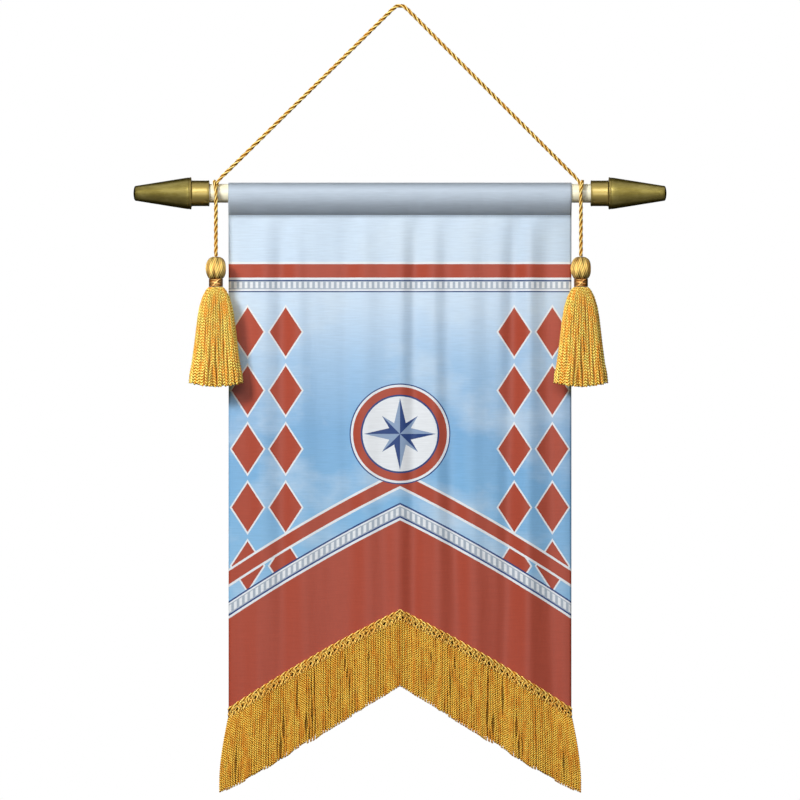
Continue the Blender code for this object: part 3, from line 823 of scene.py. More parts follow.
FOLDS = (
    Fold(-0.181, -0.188, -0.0026, -0.0022, 0.013),
    Fold(-0.157, -0.158, 0.0030, 0.0024, 0.011),
    Fold(-0.140, -0.124, -0.0026, -0.0020, 0.013),
    Fold(-0.096, -0.092, 0.0014, 0.0018, 0.016),
    Fold(-0.073, -0.066, 0.0026, 0.0020, 0.013),
    Fold(-0.051, -0.040, -0.0028, -0.0024, 0.015),
    Fold(0.003, -0.008, -0.0022, -0.0016, 0.012),
    Fold(0.020, 0.016, 0.0044, 0.0034, 0.011),
    Fold(0.043, 0.052, -0.0032, -0.0030, 0.012),
    Fold(0.060, 0.079, 0.0024, 0.0026, 0.012),
    Fold(0.091, 0.098, -0.0032, -0.0034, 0.016),
    Fold(0.136, 0.118, -0.0018, 0.0016, 0.012),
    Fold(0.154, 0.138, 0.0046, 0.0040, 0.012),
    Fold(0.172, 0.170, -0.0046, -0.0042, 0.012),
    Fold(0.196, 0.205, 0.0028, 0.0036, 0.013),
)
# The height of the rod's axis
ROD_Z = -0.2473


@dataclass(frozen=True)
class BannerForm:
    """The sizes that the cloth and its fringe share: width, pole pocket, lower edge and folds."""

    half_width: float = 0.2286
    pocket_radius: float = 0.0141
    pocket_belly: float = 0.85
    seam_drop: float = 0.0287
    apex_z: float = -0.8015
    edge_rise: float = 0.1316
    edge_bow: float = 0.1535
    fold_onset: float = 0.030
    lean: float = 0.0012
    curl: float = 0.0042
    curl_width: float = 0.018

    @property
    def seam_z(self) -> float:
        """Height of the seam under the pole pocket."""
        return ROD_Z - self.seam_drop

    def edge_z(self, x: Array) -> Array:
        """Height of the heading's upper edge: two bowed arms that fall from the middle."""
        share = np.minimum(np.abs(x) / self.half_width, 1.0)
        return self.apex_z - self.edge_rise * (share - self.edge_bow * share * (1 - share))

    def fold_depth(self, x: Array, z: Array) -> Array:
        """How far back the cloth hangs: bell-shaped folds that drift from seam to fringe, plus the
        curled sides, all growing from nothing at the seam.

        Args:
            x: places across the banner.
            z: their heights.

        Returns:
            The depth at each place.
        """
        down = (self.seam_z - z) / (self.seam_z - self.edge_z(np.array(self.half_width)))
        depth = self.lean + self.curl * np.exp(-(self.half_width - np.abs(x)) / self.curl_width)
        for fold in FOLDS:
            centre = fold.top_x + (fold.bottom_x - fold.top_x) * down
            amount = fold.top_depth + (fold.bottom_depth - fold.top_depth) * down
            depth = depth + amount * np.exp(-(((x - centre) / fold.half_width) ** 2))
        return depth * (1 - np.exp(-np.maximum(self.seam_z - z, 0.0) / self.fold_onset))


@dataclass
class BannerCloth:
    """The printed panel with its pole pocket, and the row of stitches that closes the pocket."""

    form: BannerForm
    thickness: float = 0.0005
    behind_heading: float = 0.011
    columns: int = 153
    sheet_rows: int = 104
    pocket_rows: int = 60
    flap_depth: float = 0.008
    flap_gap: float = 0.0009
    pucker: float = 0.00035
    pucker_reach: float = 0.008
    pucker_waves: Triple = (0.0093, 0.0137, 0.0211)
    waviness: float = 0.0005
    wave_onset: float = 0.04
    wave_drift: float = 0.10
    slow_waves: Triple = (0.034, 0.057, 0.093)
    belly_swell: float = 0.0007
    belly_waves: Triple = (0.043, 0.071, 0.017)
    stitch_pitch: float = 0.0034
    stitch_length: float = 0.0026
    stitch_radius: float = 0.00028
    stitch_drop: float = 0.0016
    stitch_rise: float = 0.00012

    def small_waves(self, x: Array, z: Array) -> Array:
        """Puckers that fade away from the seam, and a slow unevenness that drifts down the cloth.

        Args:
            x: places across the banner.
            z: their heights.

        Returns:
            The depth that they add at each place.
        """
        down = self.form.seam_z - z
        seam = self.pucker * np.exp(-np.abs(down) / self.pucker_reach)
        slow = self.waviness * (1 - np.exp(-np.maximum(down, 0.0) / self.wave_onset))
        drifted = x - self.wave_drift * down
        return seam * ripple(x, self.pucker_waves) + slow * ripple(drifted, self.slow_waves, 1.3)

    def hanging_y(self, x: Array, z: Array) -> Array:
        """How far back the middle of the hanging cloth is."""
        return self.form.fold_depth(x, z) + self.small_waves(x, z)

    def pocket_grid(self, x: Array) -> Array:
        """The pocket: up its bellied front from the seam, round over the rod and down its back.

        The upper half is half a circle. Below the rod's axis the reach is the radius times one less
        the squared drop, to the belly's power.

        Args:
            x: places across the banner.

        Returns:
            The pocket's points, (rows, columns, 3).
        """
        form = self.form
        turn = np.linspace(0.0, TAU, self.pocket_rows)[1:, None]
        side, height = -np.sin(turn), -np.cos(turn)
        drop = np.clip(-height, 0.0, 1.0)
        reach = form.pocket_radius * (1 - drop**2) ** form.pocket_belly
        y = np.where(height >= 0, form.pocket_radius * side, np.sign(side) * reach)
        z = ROD_Z + np.where(height >= 0, form.pocket_radius * height, -form.seam_drop * drop)
        y = y + self.flap_gap * smooth_share((turn - 0.75 * TAU) / (0.25 * TAU))
        belly = np.sin(math.pi * drop) * np.sign(side) * self.belly_swell
        y = y + belly * ripple(x + 0.3 * z, self.belly_waves, 0.4)
        y = y + self.small_waves(x, z) * (turn < math.pi)
        return joined(x, y, z)

    def build_panel(self, front: Material, back: Material) -> Piece:
        """One strip of cloth as it was cut: the hanging sheet from its lower edge to the seam, the
        pocket, and its turned-in end behind. Its maps hold the flat cut and the height over the
        lower edge. It is thickened to a thin shell whose back has its own finish.

        Args:
            front: the printed face's finish.
            back: the reverse's finish.

        Returns:
            The panel.
        """
        form = self.form
        x = np.linspace(-form.half_width, form.half_width, self.columns)
        low = form.edge_z(x) - self.behind_heading
        sheet_z = low + (form.seam_z - low) * np.linspace(0.0, 1.0, self.sheet_rows)[:, None]
        flap_z = form.seam_z - np.linspace(0.0, self.flap_depth, 5)[1:, None]
        sheet = joined(x, self.hanging_y(x, sheet_z), sheet_z)
        flap = joined(x, self.hanging_y(x, flap_z) + self.flap_gap, flap_z)
        points = np.concatenate([sheet, self.pocket_grid(x), flap])
        middle = points[self.sheet_rows - 1 :, self.columns // 2]
        beyond = np.concatenate([[0.0], np.linalg.norm(np.diff(middle, axis=0), axis=1).cumsum()])
        height = points[:, :, 2] - form.seam_z
        height[self.sheet_rows - 1 :] = beyond[:, None]
        across = np.broadcast_to(x, height.shape)
        over = height + form.seam_z - form.edge_z(across)
        maker = MeshMaker()
        maker.add_sheet(points, {"Cut": joined(across, height), "Chevron": joined(across, over)})
        panel = maker.build("printed_satin_panel", [front, back], "cloth", "banner_cloth")
        shell = panel.modifiers.new("Thickness", "SOLIDIFY")
        shell.thickness = self.thickness
        shell.offset = 0.0
        shell.material_offset = 1
        return panel

    def build_stitches(self, thread: Material) -> Piece:
        """Short capsules of thread along the seam, each a tube whose ends close in.

        Args:
            thread: the stitches' finish.

        Returns:
            The row of stitches.
        """
        count = int(2 * self.form.half_width / self.stitch_pitch) - 1
        middle = (np.arange(count) - (count - 1) / 2) * self.stitch_pitch
        share = np.array([-0.5, -0.42, 0.0, 0.42, 0.5])
        x = middle[:, None] + share * self.stitch_length
        radius = self.stitch_radius * np.array([0.45, 0.85, 1.0, 0.85, 0.45]) + 0 * x
        z = np.full_like(x, self.form.seam_z - self.stitch_drop)
        centres = joined(x, self.hanging_y(x, z) - self.thickness / 2 - self.stitch_rise, z)
        rings = ply_rings(centres, ring_directions(centres, Z_WAY), radius, 0 * x, Section(6))
        maker = MeshMaker()
        maker.add_tubes(rings, np.abs(share) * self.stitch_length + 0 * x)
        return maker.build("pocket_stitches", [thread], "cloth")


# Fringe


class StitchRow(NamedTuple):
    """A row of short stitches on the heading: its distance below the upper edge, the step from one
    stitch to the next across the banner, a stitch's length, radius and lean, how proud and how
    light it is, and the share of a step before the first."""

    below: float
    step: float
    length: float
    radius: float
    lean: float
    proud: float
    tone: float
    start: float


STITCH_ROWS = (
    StitchRow(0.0055, 0.0041, 0.0052, 0.00140, 0.95, 0.0006, 0.4, 0.5),
    StitchRow(0.0095, 0.0082, 0.0060, 0.00165, 0.35, 0.0014, 1.4, 0.0),
    StitchRow(0.0138, 0.0041, 0.0044, 0.00155, 0.30, 0.0006, 0.9, 0.5),
)


@dataclass
class BullionFringe:
    """One arm of the fringe: a crocheted heading with twisted strands hanging from it."""

    form: BannerForm
    side: Side
    heading_drop: float = 0.0156
    overhang: float = 0.0008
    clearance: float = 0.0007
    tape_thickness: float = 0.0007
    edging_below: float = 0.0020
    edging_radius: float = 0.0019
    edging_lay: float = 0.0180
    chain_below: float = 0.0095
    chain_swing: float = 0.0032
    chain_radius: float = 0.00150
    chain_lay: float = 0.007
    stitch_lay: float = 0.0065
    heading_groove: float = 0.42
    strands: int = 76
    strand_radius: float = 0.00182
    strand_lay: float = 0.0060
    strand_groove: float = 0.48
    rings_a_turn: int = 7
    drop_apex: float = 0.1030
    drop_side: float = 0.1160
    drop_growth: float = 0.45
    flare: float = 0.0118
    flare_power: float = 9.0
    flare_turn: float = math.radians(100)
    lean: float = 0.0016
    unevenness: float = 0.00025
    step_height: float = 0.0019
    slits: int = 14
    slit_edge: float = 0.0006
    slit_fade: float = 0.0045
    front_y: float = -0.0022
    front_overlap: float = 0.0018
    back_y: float = 0.0004
    back_overlap: float = 0.0010
    back_shorter: float = 0.0020
    back_radius: float = 0.00170
    seed: int = 41

    @property
    def reach(self) -> float:
        """How far the heading goes from the middle."""
        return self.form.half_width + self.overhang

    def heading_path(self, x: Array, below: Array | float, proud: Array | float) -> Array:
        """Points of the heading at a distance below its upper edge and proud of its tape.

        Args:
            x: places across the banner.
            below: how far below the upper edge.
            proud: how far in front of the tape.

        Returns:
            The points, with their coordinates on the last axis.
        """
        z = self.form.edge_z(x) - below
        y = self.form.fold_depth(x, z) - self.clearance - self.tape_thickness - proud
        return joined(x, y, z)

    def add_tape(self, maker: MeshMaker) -> None:
        """The woven tape under the crochet: a thin closed strip from edge to edge of the heading.

        Args:
            maker: gathers the heading's mesh.
        """
        x = self.side.value * np.linspace(0.0, self.reach, 90)
        below = np.linspace(0.0008, self.heading_drop - 0.0006, 6)
        walls = [(drop, 0.0) for drop in below] + [(drop, -self.tape_thickness) for drop in below[::-1]]
        tape = np.stack([self.heading_path(x, drop, proud) for drop, proud in walls], axis=1)
        # Painted shade: the tape is drawn very dark, so that the crochet's holes read as shade.
        maker.add_tubes(tape[None], np.abs(x)[None], tones=-3.9)

    def add_yarn(
        self,
        maker: MeshMaker,
        path: Array,
        along: Array,
        radius: Array | float,
        lay: float,
        sides: int,
        tone: float,
    ) -> None:
        """Carries a two-ply section along each path of the heading, by the yarn's radius and lay.

        Args:
            maker: gathers the heading's mesh.
            path: points along each yarn, (yarns, rings, 3).
            along: length along each yarn at its rings.
            radius: the yarn's radius, which may differ from ring to ring.
            lay: length of one turn of the twist.
            sides: points round a section.
            tone: how light the yarn is.
        """
        shape = path.shape[:2]
        turns = np.broadcast_to(along / lay, shape) * self.side.value
        directions = ring_directions(path, Y_WAY)
        section = Section(sides, 2, self.heading_groove)
        rings = ply_rings(path, directions, np.broadcast_to(radius, shape), turns, section)
        maker.add_tubes(rings, along, tone)

    def add_edging(self, maker: MeshMaker) -> None:
        """A twisted edging along the top of the heading.

        Args:
            maker: gathers the heading's mesh.
        """
        along = np.linspace(0.0, self.reach, 240)
        path = self.heading_path(self.side.value * along, self.edging_below, self.edging_radius * 0.7)
        self.add_yarn(maker, path[None], along[None], self.edging_radius, self.edging_lay, 10, 0.7)

    def add_chain(self, maker: MeshMaker) -> None:
        """Two yarns that cross back and forth, with a hole in the middle of each of their loops.

        They swing about the row as opposite squared cosines that keep their sign, one yarn over
        and one under at every other crossing.

        Args:
            maker: gathers the heading's mesh.
        """
        along = np.linspace(0.0, self.reach, 320)
        phase = math.pi * (along / STITCH_ROWS[1].step + 0.5)
        for way in (-1, 1):
            below = self.chain_below + way * self.chain_swing * (np.cos(phase) * np.abs(np.cos(phase)))
            proud = self.chain_radius * (0.8 + 0.4 * way * np.sin(phase))
            path = self.heading_path(self.side.value * along, below, proud)
            self.add_yarn(maker, path[None], along[None], self.chain_radius, self.chain_lay, 8, 0.6)

    def add_stitches(self, maker: MeshMaker, row: StitchRow) -> None:
        """A row of short leaning stitches, each a two-ply yarn that tapers at its ends.

        Args:
            maker: gathers the heading's mesh.
            row: the row's sizes.
        """
        middle = (np.arange(int(self.reach / row.step)) + row.start) * row.step
        share = np.array([-0.5, -0.46, -0.34, -0.17, 0.0, 0.17, 0.34, 0.46, 0.5])
        radius = row.radius * np.array([0.35, 0.68, 0.92, 1.0, 1.0, 1.0, 0.92, 0.68, 0.35])
        x = self.side.value * (middle[:, None] + share * row.length * math.sin(row.lean))
        below = row.below + share * row.length * math.cos(row.lean)
        path = self.heading_path(x, below, row.proud + row.radius * 0.9 * (1 - 3.2 * share**2))
        self.add_yarn(maker, path, (share + 0.5) * row.length + 0 * x, radius, self.stitch_lay, 8, row.tone)

    def strand_tops(self, shift: float) -> Array:
        """Places across the banner where strands start, so that they end at even steps.

        The swing moves ends outwards, so tops stand closer together towards the side.

        Args:
            shift: the share of a step before the first.

        Returns:
            Distances from the middle, in order.
        """
        x = np.linspace(0.0, self.reach, 400)
        ends = x + self.flare * (x / self.form.half_width) ** self.flare_power
        return np.interp((np.arange(self.strands) + shift) / self.strands * ends[-1], ends, x)

    def tips(self, x: Array, random: np.random.Generator) -> Array:
        """Height of the strands' ends: the fringe's length below the upper edge, which grows outwards
        from the middle, cut a little longer or shorter from one stretch to the next.

        Args:
            x: where each strand hangs.
            random: the source of what differs from one to the next.

        Returns:
            The height of each strand's end.
        """
        away = np.abs(x)
        growth = 1 - np.exp(-away / self.form.half_width / self.drop_growth)
        drop = self.drop_apex + (self.drop_side - self.drop_apex) * growth
        cuts = np.sort(random.uniform(0.03, self.form.half_width, 11))
        heights = random.uniform(-self.step_height, self.step_height, 12)
        stretch = heights[np.searchsorted(cuts, away)] * smooth_share((away - 0.015) / 0.02)
        own = random.uniform(-self.unevenness, self.unevenness, len(x))
        return self.form.edge_z(x) - drop + stretch + own

    def swing(self, share: Array, down: Array) -> Array:
        """The outermost strands' swing: the flare times a high power of the place along the arm,
        times the sine of a turn that goes on past a quarter.

        Args:
            share: place of each strand, as a share of the half width.
            down: share of the length at each ring.

        Returns:
            The shift outwards at each ring.
        """
        return self.flare * share[:, None] ** self.flare_power * np.sin(self.flare_turn * down)

    def sway(self, random: np.random.Generator, x: Array, down: Array) -> Array:
        """Sideways shift of each strand at each ring: slits part the strands, and the outermost swing
        outwards.

        A slit pushes the strands beside it apart by its width times a bell along its height, which
        dies away with distance. Between them, stretches of strands lean a little by an uneven ripple.

        Args:
            random: the source of what differs from one to the next.
            x: where each strand hangs.
            down: share of the length at each ring.

        Returns:
            The shift of each strand at each ring.
        """
        place = random.uniform(0.030, self.form.half_width - 0.006, self.slits)
        centre = random.uniform(0.18, 0.85, self.slits)
        reach = random.uniform(0.06, 0.16, self.slits)
        width = random.uniform(0.0010, 0.0019, self.slits)
        slant = random.normal(0.0, 0.006, self.slits)
        off = down[None, :, None] - centre
        away = np.abs(x)[:, None, None] - place - slant * off
        push = np.tanh(away / self.slit_edge) * np.exp(-np.abs(away) / self.slit_fade) * width
        parted = (push * np.exp(-((off / reach) ** 2))).sum(axis=-1)
        share = np.abs(x) / self.form.half_width
        middle = smooth_share(share / 0.2) * smooth_share((1 - share) / 0.15)
        lean = self.lean * (middle * ripple(np.abs(x), (0.031, 0.047, 0.019)))[:, None] * down
        return self.side.value * (parted + self.swing(share, down) + lean)

    def add_strands(self, maker: MeshMaker, random: np.random.Generator) -> None:
        """The front row of two-ply strands, plumb but for slits and flare. Their ends are cut along
        the banner's edge: their points rise with the slope across a strand.

        Args:
            maker: gathers the strands' mesh.
            random: the source of what differs from one to the next.
        """
        x = self.strand_tops(0.5) * self.side.value + random.normal(0.0, 0.00012, self.strands)
        top = self.form.edge_z(x) - self.heading_drop + self.front_overlap
        length = (top - self.tips(x, random))[:, None]
        rings = int(length.max() / self.strand_lay * self.rings_a_turn)
        down = np.concatenate([np.linspace(0.0, 0.985, rings - 1), [0.992, 1.0]])
        y = (self.form.fold_depth(x, top) + self.front_y)[:, None]
        y = y + random.normal(0.0, 0.0001, self.strands)[:, None] * smooth_share(down * 3)
        across = x[:, None] + self.sway(random, x, down)
        centres = joined(across, y, top[:, None] - length * down)
        thick = self.strand_radius * random.uniform(0.95, 1.05, self.strands)[:, None]
        radius = thick * np.append(np.ones(rings - 1), [0.98, 0.86])
        phase = random.uniform(0.0, 1.0, self.strands)[:, None]
        turns = (phase + length * down / self.strand_lay) * self.side.value
        points = ply_rings(centres, LEVEL, radius, turns, Section(8, 2, self.strand_groove, False))
        slope = (self.form.edge_z(x + 0.001) - self.form.edge_z(x - 0.001)) / 0.002
        aside = points[..., 0] - centres[..., :1]
        points[..., 2] += smooth_share((down - 0.94) / 0.06)[:, None] * slope[:, None, None] * aside
        tones = random.uniform(-0.15, 0.4, (self.strands, 1, 1))
        # Painted shade: the strands darken over the last few millimetres before their cut ends.
        tones = tones - 2.2 * smooth_share((down - 0.965) / 0.03)[None, :, None]
        maker.add_tubes(points, turns * self.strand_lay, tones)

    def add_back_row(self, maker: MeshMaker, random: np.random.Generator) -> None:
        """A second row behind, half a step on, drawn very dark as painted shade in the slits: plain
        rounds with few rings.

        Args:
            maker: gathers the strands' mesh.
            random: the source of what differs from one to the next.
        """
        away = self.strand_tops(0.0)[int(self.side is Side.RIGHT) :]
        x = away * self.side.value
        top = self.form.edge_z(x) - self.heading_drop + self.back_overlap
        length = (top - self.tips(x, random) - self.back_shorter)[:, None]
        down = np.array([0.0, 0.1, 0.25, 0.4, 0.55, 0.7, 0.85, 0.97, 1.0])
        across = x[:, None] + self.swing(away / self.form.half_width, down) * self.side.value
        y = (self.form.fold_depth(x, top) + self.back_y)[:, None]
        centres = joined(across, y, top[:, None] - length * down)
        radius = self.back_radius * np.append(np.ones(8), 0.5) + 0 * across
        # Painted shade: the back row is very dark.
        maker.add_tubes(ply_rings(centres, LEVEL, radius, 0 * across, Section(6)), length * down, tones=-2.6)

    def build(self, heading_yarn: Material, strand_yarn: Material) -> list[Piece]:
        """Makes the heading and the strands, which together stand for the arm's solid.

        Args:
            heading_yarn: the crochet's finish.
            strand_yarn: the strands' finish.

        Returns:
            The heading and the strands.
        """
        heading, strands, word = MeshMaker(), MeshMaker(), self.side.word
        self.add_tape(heading)
        self.add_edging(heading)
        self.add_chain(heading)
        for row in STITCH_ROWS:
            self.add_stitches(heading, row)
        self.add_strands(strands, np.random.default_rng(self.seed))
        self.add_back_row(strands, np.random.default_rng(self.seed))
        return [
            heading.build(f"fringe_heading_{word}", [heading_yarn], "fringe", f"fringe_{word}", 60),
            strands.build(f"fringe_strands_{word}", [strand_yarn], "fringe", f"fringe_{word}", 60),
        ]


# Rod and finials


@dataclass
class Rod:
    """The lacquered hardwood rod."""

    radius: float = 0.0125
    half_length: float = 0.274
    chamfer: float = 0.0008

    def build(self, lacquer: Material) -> Piece:
        """A turned rod: circles along its axis, drawn in at the chamfered ends.

        Args:
            lacquer: the rod's finish.

        Returns:
            The rod.
        """
        x = np.concatenate([[-1, -1], np.linspace(-1, 1, 40), [1, 1]]) * (self.half_length - self.chamfer)
        x[0] -= self.chamfer
        x[-1] += self.chamfer
        x[[1, -2]] = x[[0, -1]] * 0.9985
        radius = np.full(len(x), self.radius)
        radius[[0, -1]] -= self.chamfer
        radius[[1, -2]] -= self.chamfer / 2
        centres = joined(x, 0.0, ROD_Z)
        maker = MeshMaker()
        rings = ply_rings(centres[None], (Y_WAY, Z_WAY), radius[None], 0 * radius[None], Section(96))
        maker.add_tubes(rings, x[None])
        return maker.build("lacquered_rod", [lacquer], "rod", "rod", 40)


@dataclass
class Finial:
    """A spun brass finial: ferrule, lip, long cone and rounded nose, with a staked dimple."""

    side: Side
    inner_x: float = 0.254
    ferrule_length: float = 0.024
    ferrule_radius: float = 0.0171
    lip_radius: float = 0.0216
    lip_width: float = 0.0036
    cone_length: float = 0.0773
    cone_base: float = 0.0211
    cone_ease: float = 0.0016
    cone_tip: float = 0.0100
    nose_depth: float = 0.0030
    socket_radius: float = 0.0128
    socket_depth: float = 0.0203
    dimple_along: float = 0.0046
    dimple_angle: float = math.radians(-38)
    dimple_depth: float = 0.0009
    dimple_size: float = 0.0013
    sides: int = 120
    ferrule_steps: tuple[float, ...] = (0.88, 0.74, 0.6, 0.5, 0.42, 0.34, 0.28, 0.23, 0.18, 0.13, 0.09)

    def profile(self) -> Array:
        """Radius and height over the ferrule's mouth, from the nose down the outside to the socket.

        The nose is a quarter of an ellipse. The cone is a straight taper that eases in from a level
        start: its run is the distance from the foot, less an ease times one minus a decay. A fine
        groove parts the cone from the lip, which carries the taper on to a crisp edge.
        """
        lip, base, edge, tube = self.ferrule_length, self.cone_base, self.lip_radius, self.ferrule_radius
        turn = np.linspace(0.03, math.pi / 2, 9)
        tip = lip + self.cone_length - self.nose_depth * (1 - np.cos(turn))
        foot = lip + self.lip_width
        share = 1 - (1 - np.linspace(0.0, 1.0, 32)[1:]) ** 1.7
        height = tip[-1] + (foot - tip[-1]) * share
        off = np.append(height, tip[-1]) - foot
        run = off - self.cone_ease * (1 - np.exp(-off / self.cone_ease))
        radius = base - (base - self.cone_tip) * run[:-1] / run[-1]
        details = [
            (base - 0.00035, foot - 0.0002), (base - 0.00035, foot - 0.0005), (base + 0.00005, foot - 0.0007),
            (edge - 0.0002, lip + 0.0016), (edge, lip + 0.0008), (edge - 0.0003, lip + 0.0002),
            (edge - 0.0009, lip),
            (tube + 0.0014, lip - 0.0001), (tube + 0.0005, lip - 0.0005), (tube + 0.0001, lip - 0.0013),
            *[(tube, lip * share) for share in self.ferrule_steps],
            (tube + 0.00025, 0.0013), (tube + 0.0003, 0.0008), (tube - 0.0002, 0.0002), (tube - 0.0010, 0.0),
            (self.socket_radius + 0.0003, 0.0), (self.socket_radius, 0.0004),
            (self.socket_radius, self.socket_depth), (0.0004, self.socket_depth),
        ]
        return np.concatenate([joined(self.cone_tip * np.sin(turn), tip), joined(radius, height), details])

    def build(self, brass: Material) -> Piece:
        """Turns the profile about the rod's axis, and presses the dimple into the ferrule's front.

        Args:
            brass: the finial's finish.

        Returns:
            The finial.
        """
        radius, height = self.profile().T
        angle = TAU * np.arange(self.sides) / self.sides
        on_ferrule = (radius > self.ferrule_radius - 0.001)[:, None]
        off_angle = (angle - self.dimple_angle + math.pi) % TAU - math.pi
        off = (height[:, None] - self.dimple_along) ** 2 + (self.ferrule_radius * off_angle) ** 2
        reach = radius[:, None] - self.dimple_depth * np.exp(-off / self.dimple_size**2) * on_ferrule
        x = self.side.value * (self.inner_x + height)[:, None]
        rings = joined(x, -reach * np.cos(angle), ROD_Z + reach * np.sin(angle))
        maker, word = MeshMaker(), self.side.word
        maker.add_tubes(rings[None], height[None])
        return maker.build(f"brass_finial_{word}", [brass], "finial", f"finial_{word}", 50)


# Cord


HITCH_X = {Side.LEFT: -0.2447, Side.RIGHT: 0.2405}
# The cord from its peak to the hitch: across, depth and height, on a leg as wide as leg_span
LEG = (
    (0.0000, 0.0000, 0.00275), (0.0024, -0.0001, 0.00251), (0.0047, -0.0002, 0.00180),
    (0.0068, -0.0003, 0.00062), (0.0086, -0.0004, -0.00084), (0.0600, -0.0027, -0.0518),
    (0.1200, -0.0053, -0.1113), (0.1800, -0.0080, -0.1707), (0.2260, -0.0100, -0.2163),
    (0.2380, -0.0106, -0.2283), (0.2417, -0.0121, -0.2340), (0.2430, -0.0142, -0.2400),
)
# Points of the hitch: how far out past its mark on the rod, the clock angle in degrees from the top
# towards the front, and the distance from the rod's axis
HITCH = (
    (0.0000, 90, 0.0153), (0.0002, 120, 0.0152), (0.0005, 150, 0.0152), (0.0008, 180, 0.0152),
    (0.0012, 210, 0.0152), (0.0016, 240, 0.0152), (0.0018, 270, 0.0152), (0.0022, 300, 0.0152),
    (0.0025, 328, 0.0152), (0.0025, 354, 0.0154), (0.0025, 379, 0.0169), (0.0023, 401, 0.0191),
    (0.0014, 421, 0.0202), (0.0005, 437, 0.0204), (0.0000, 450, 0.0205),
)


@dataclass
class HangingCord:
    """The twisted cord: from one tassel up round the rod, over its peak and down to the other."""

    diameter: float = 0.0055
    leg_span: float = 0.2432
    tail_y: float = -0.0219
    tail_drops: Triple = (0.022, 0.052, 0.0848)
    pinch: float = 0.18
    pinch_reach: float = 0.030
    pinch_ease: float = 0.010
    turned_from: float = 0.15
    turned_over: float = 0.07
    end_share: float = 0.8
    length: float = 1.080
    lay: float = 0.028
    step: float = 0.00135
    section: Section = Section(15, 3, 0.30)

    def half_route(self, side: Side) -> Array:
        """The cord's points from its peak to one tassel: leg, one turn round the rod and tail.

        Args:
            side: the half of the banner.

        Returns:
            The points, one a row.
        """
        mark = HITCH_X[side]
        leg = np.array(LEG) * [mark / self.leg_span, 1.0, 1.0]
        outward, clock, reach = np.array(HITCH).T
        clock = np.radians(clock)
        across, up = -reach * np.sin(clock), ROD_Z + reach * np.cos(clock)
        hitch = joined(mark + side.value * outward, across, up)
        return np.concatenate([leg, hitch, [(mark, self.tail_y, ROD_Z - drop) for drop in self.tail_drops]])

    def build(self, yarn: Material) -> None:
        """Carries a three-ply section along the route, which is pulled thin round the rod.

        The directions across the cord are taken from the depth axis along the legs and from the
        rod's axis round the hitch and down the tails, with a soft change between the two.

        Args:
            yarn: the cord's finish.
        """
        left, right = (self.half_route(side) for side in Side)
        centres, along = evenly_spaced(catmull_rom(np.concatenate([left[:0:-1], right])), self.step)
        share = smooth_share((np.abs(centres[:, 0]) - self.turned_from) / self.turned_over)[:, None]
        reference = (1 - share) * Y_WAY + share * (np.sign(centres[:, :1]) * X_WAY)
        directions = ring_directions(centres[None], reference[None])
        marks = np.array([(HITCH_X[side], 0.0, ROD_Z) for side in Side])
        off = np.linalg.norm(centres[:, None] - marks, axis=-1).min(axis=1)
        thin = 1 - self.pinch * smooth_share((self.pinch_reach - off) / self.pinch_ease)
        radius = (thin * self.diameter / 2)[None]
        radius[0, [0, -1]] *= self.end_share
        maker = MeshMaker()
        rings = ply_rings(centres[None], directions, radius, (along / self.lay)[None], self.section)
        maker.add_tubes(rings, along[None])
        cord = maker.build("twisted_cord", [yarn], "cord", "hanging_cord")


# Tassels

# Half the skirt's width at drops below its top
SKIRT_DROPS = (0.0000, 0.0040, 0.0128, 0.0261, 0.0401, 0.0741, 0.1008, 0.1155, 0.1315)
SKIRT_WIDTHS = (0.0100, 0.0138, 0.0184, 0.0225, 0.0250, 0.0291, 0.0327, 0.0356, 0.0368)


class Layer(NamedTuple):
    """A layer of the skirt: how many yarns, its share of the skirt's reach and its tone, which for the
    inner layers is painted shade.
    """

    yarns: int
    reach: float
    tone: float


# The inner layers are darker: painted shade between the outer yarns.
LAYERS = (Layer(46, 1.0, 0.2), Layer(42, 0.89, -1.0), Layer(24, 0.72, -1.6))


